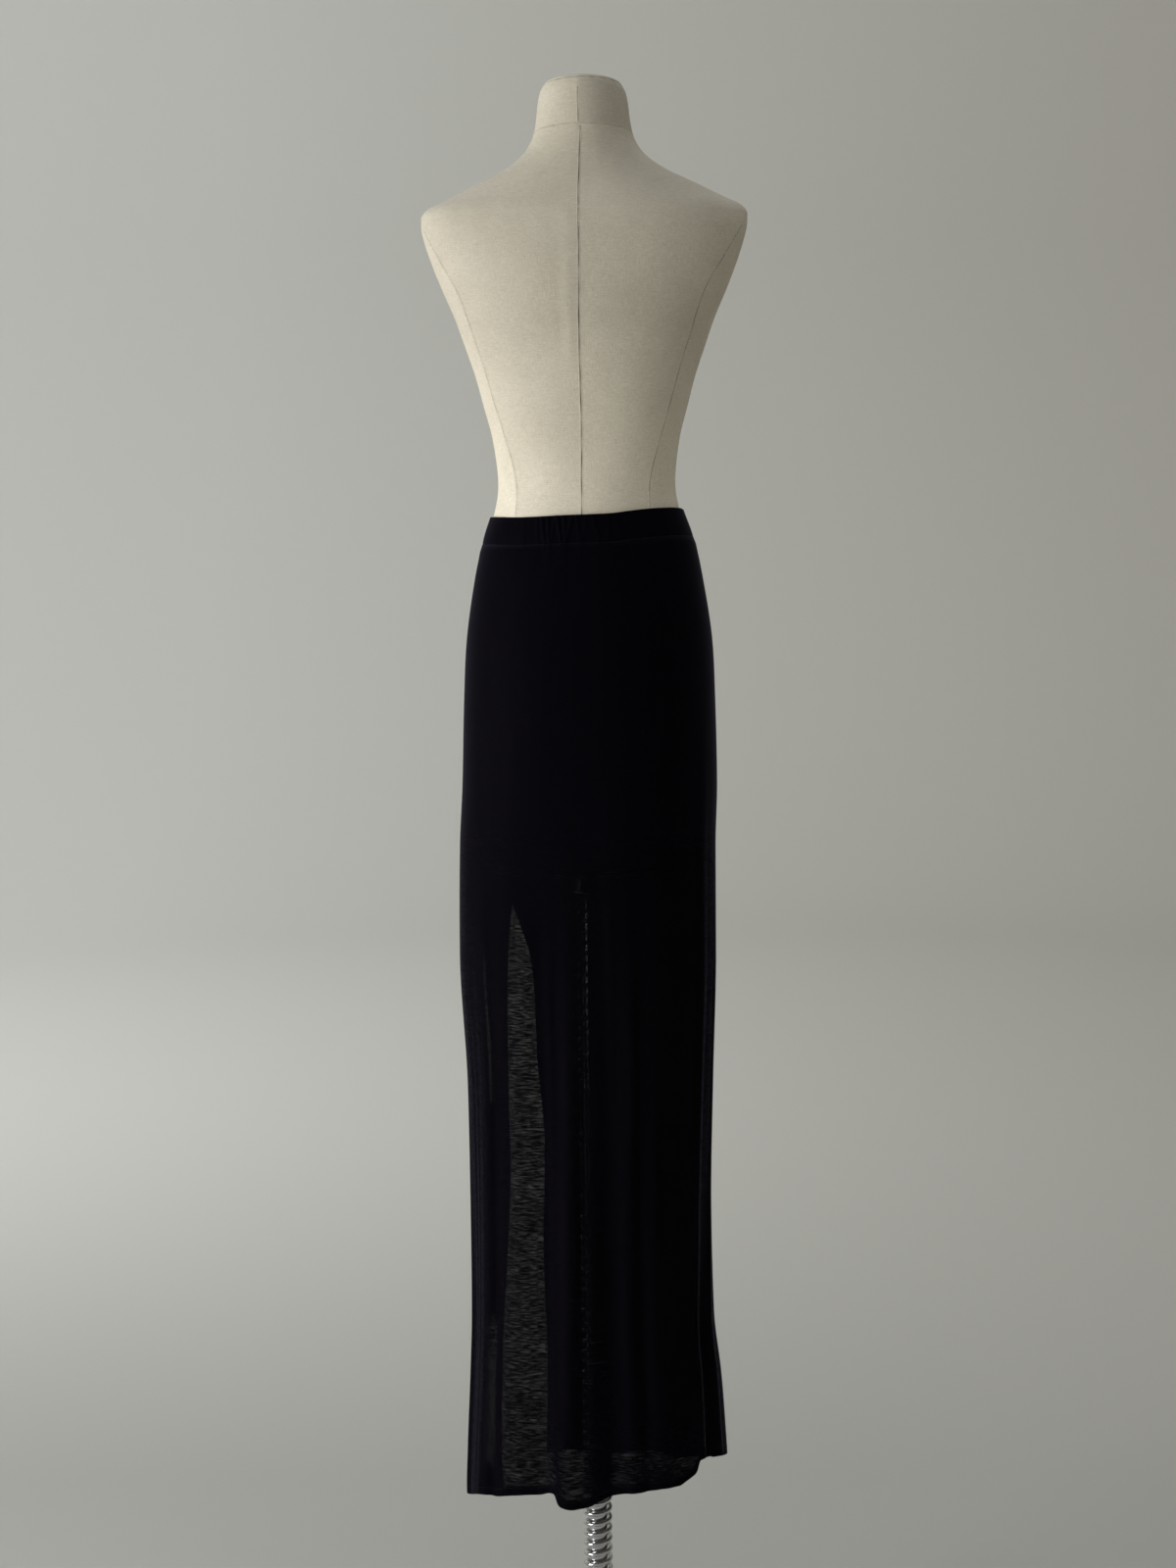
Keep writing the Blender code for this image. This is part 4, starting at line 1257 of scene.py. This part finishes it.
def build_skirt(jersey, thread):
    left_seam = seam_edge(0.0, 1.0)
    right_seam = seam_edge(180.0, -1.0)
    band = casing_band("skirt_waistband", jersey)
    place_piece(band, "form", "jersey", "waistband")

    back = cloth_panel(
        "skirt_back", left_seam, right_seam, False, False, jersey, BACK_CLEAR_AND_SHADED_PLACES
    )
    place_piece(back, "form", "jersey", "back_panel")
    front = cloth_panel(
        "skirt_front", seam_edge(-180.0, 1.0), slit_edge(1, -1.0), False, True, jersey
    )
    place_piece(front, "form", "jersey", "front_panel")
    side = cloth_panel(
        "skirt_side_front", slit_edge(0, 1.0), seam_edge(0.0, -1.0), True, False, jersey,
        THIN_SIDE_FRONT,
    )
    place_piece(side, "form", "jersey", "side_front_panel")

    for word, first, last in (
        ("back", 0.6, 179.4), ("front", -179.4, -66.6), ("side_front", -39.5, -0.6),
    ):
        angles = np.linspace(first, last, 400)
        heights = hem_height(angles) + HEM_TURN - STITCH_OVER_HEM
        row = stitch_row(f"stitches_hem_{word}", angles, heights, thread)
        place_piece(row, "form", "jersey")


# Stage, light and camera

def build_stage():
    """A pale floor that curves up into a round wall, far behind everything.

    It is darker to the form's right, away from the window."""
    material, tree, shader = new_material("backdrop", (0.60, 0.605, 0.58), 0.95, 0.1)
    sideways = one_axis(tree, object_place(tree), "X")
    shade = map_range(tree, sideways, *SHADE_ACROSS, 0.0, 1.0)
    tone = mix_colours(tree, shade, (0.42, 0.395, 0.345, 1.0), (0.60, 0.605, 0.572, 1.0))
    feed(tree, tone, shader.inputs["Base Color"])
    profile = [(radius, 0.0) for radius in (0.001, 1.0, 2.0, 3.5, FLOOR_RADIUS)]
    for turn in np.radians(np.linspace(0.0, 90.0, 17)[1:]):
        across = FLOOR_RADIUS + WALL_CURVE * math.sin(turn)
        profile.append((across, WALL_CURVE * (1 - math.cos(turn))))
    profile.append((FLOOR_RADIUS + WALL_CURVE, WALL_TOP))
    segments = 128
    faces = list(grid_faces(len(profile), segments, closed_columns=True)[:, ::-1])
    faces.append(range(segments))
    floor = add_mesh("backdrop", turned_points(profile, segments), faces, material)


def add_lamp(name, place, target, side, power, colour, spread):
    data = bpy.data.lights.new(name, "AREA")
    data.size = side
    data.energy = power
    data.color = colour
    data.spread = math.radians(spread)
    lamp = bpy.data.objects.new(name, data)
    lamp.location = place
    lamp.rotation_mode = "QUATERNION"
    lamp.rotation_quaternion = (Vector(place) - Vector(target)).to_track_quat("Z", "Y")
    lamp.visible_camera = False
    bpy.context.scene.collection.objects.link(lamp)


def build_light():
    world = bpy.data.worlds.new("soft_room")
    world.use_nodes = True
    background = world.node_tree.nodes["Background"]
    background.inputs["Color"].default_value = DAYLIGHT
    background.inputs["Strength"].default_value = DAYLIGHT_STRENGTH
    bpy.context.scene.world = world
    for row in LAMPS:
        add_lamp(*row)
    settings = bpy.context.scene.view_settings
    settings.view_transform = "Standard"
    settings.look = "None"


def build_camera():
    data = bpy.data.cameras.new("camera")
    data.sensor_width = SENSOR
    data.lens = FOCAL_PIXELS / IMAGE_HEIGHT * SENSOR
    data.shift_x = -AIM_LEFT_PIXELS / IMAGE_HEIGHT
    data.clip_end = 60.0
    camera = bpy.data.objects.new("camera", data)
    bpy.context.scene.collection.objects.link(camera)
    place = Vector(CAMERA_PLACE)
    level = Vector((-place.x, -place.y, 0.0)).normalized()
    pitch = math.radians(CAMERA_PITCH)
    forward = level * math.cos(pitch) - Vector((0.0, 0.0, 1.0)) * math.sin(pitch)
    right = forward.cross(Vector((0.0, 0.0, 1.0))).normalized()
    upward = right.cross(forward)
    turned = Matrix((right, upward, -forward)).transposed()
    turned = turned @ Matrix.Rotation(-math.radians(CAMERA_ROLL), 3, "Z")
    camera.matrix_world = Matrix.Translation(place) @ turned.to_4x4()
    bpy.context.scene.camera = camera


def main():
    jersey = jersey_material()
    thread = new_material("black_thread", (0.006, 0.006, 0.009), 0.6, 0.2)[0]
    canvas = canvas_material()
    chrome = chrome_material()
    knob = knob_material()
    build_skirt(jersey, thread)
    build_form(canvas)
    build_stand(chrome, knob)
    build_stage()
    build_light()
    build_camera()


main()
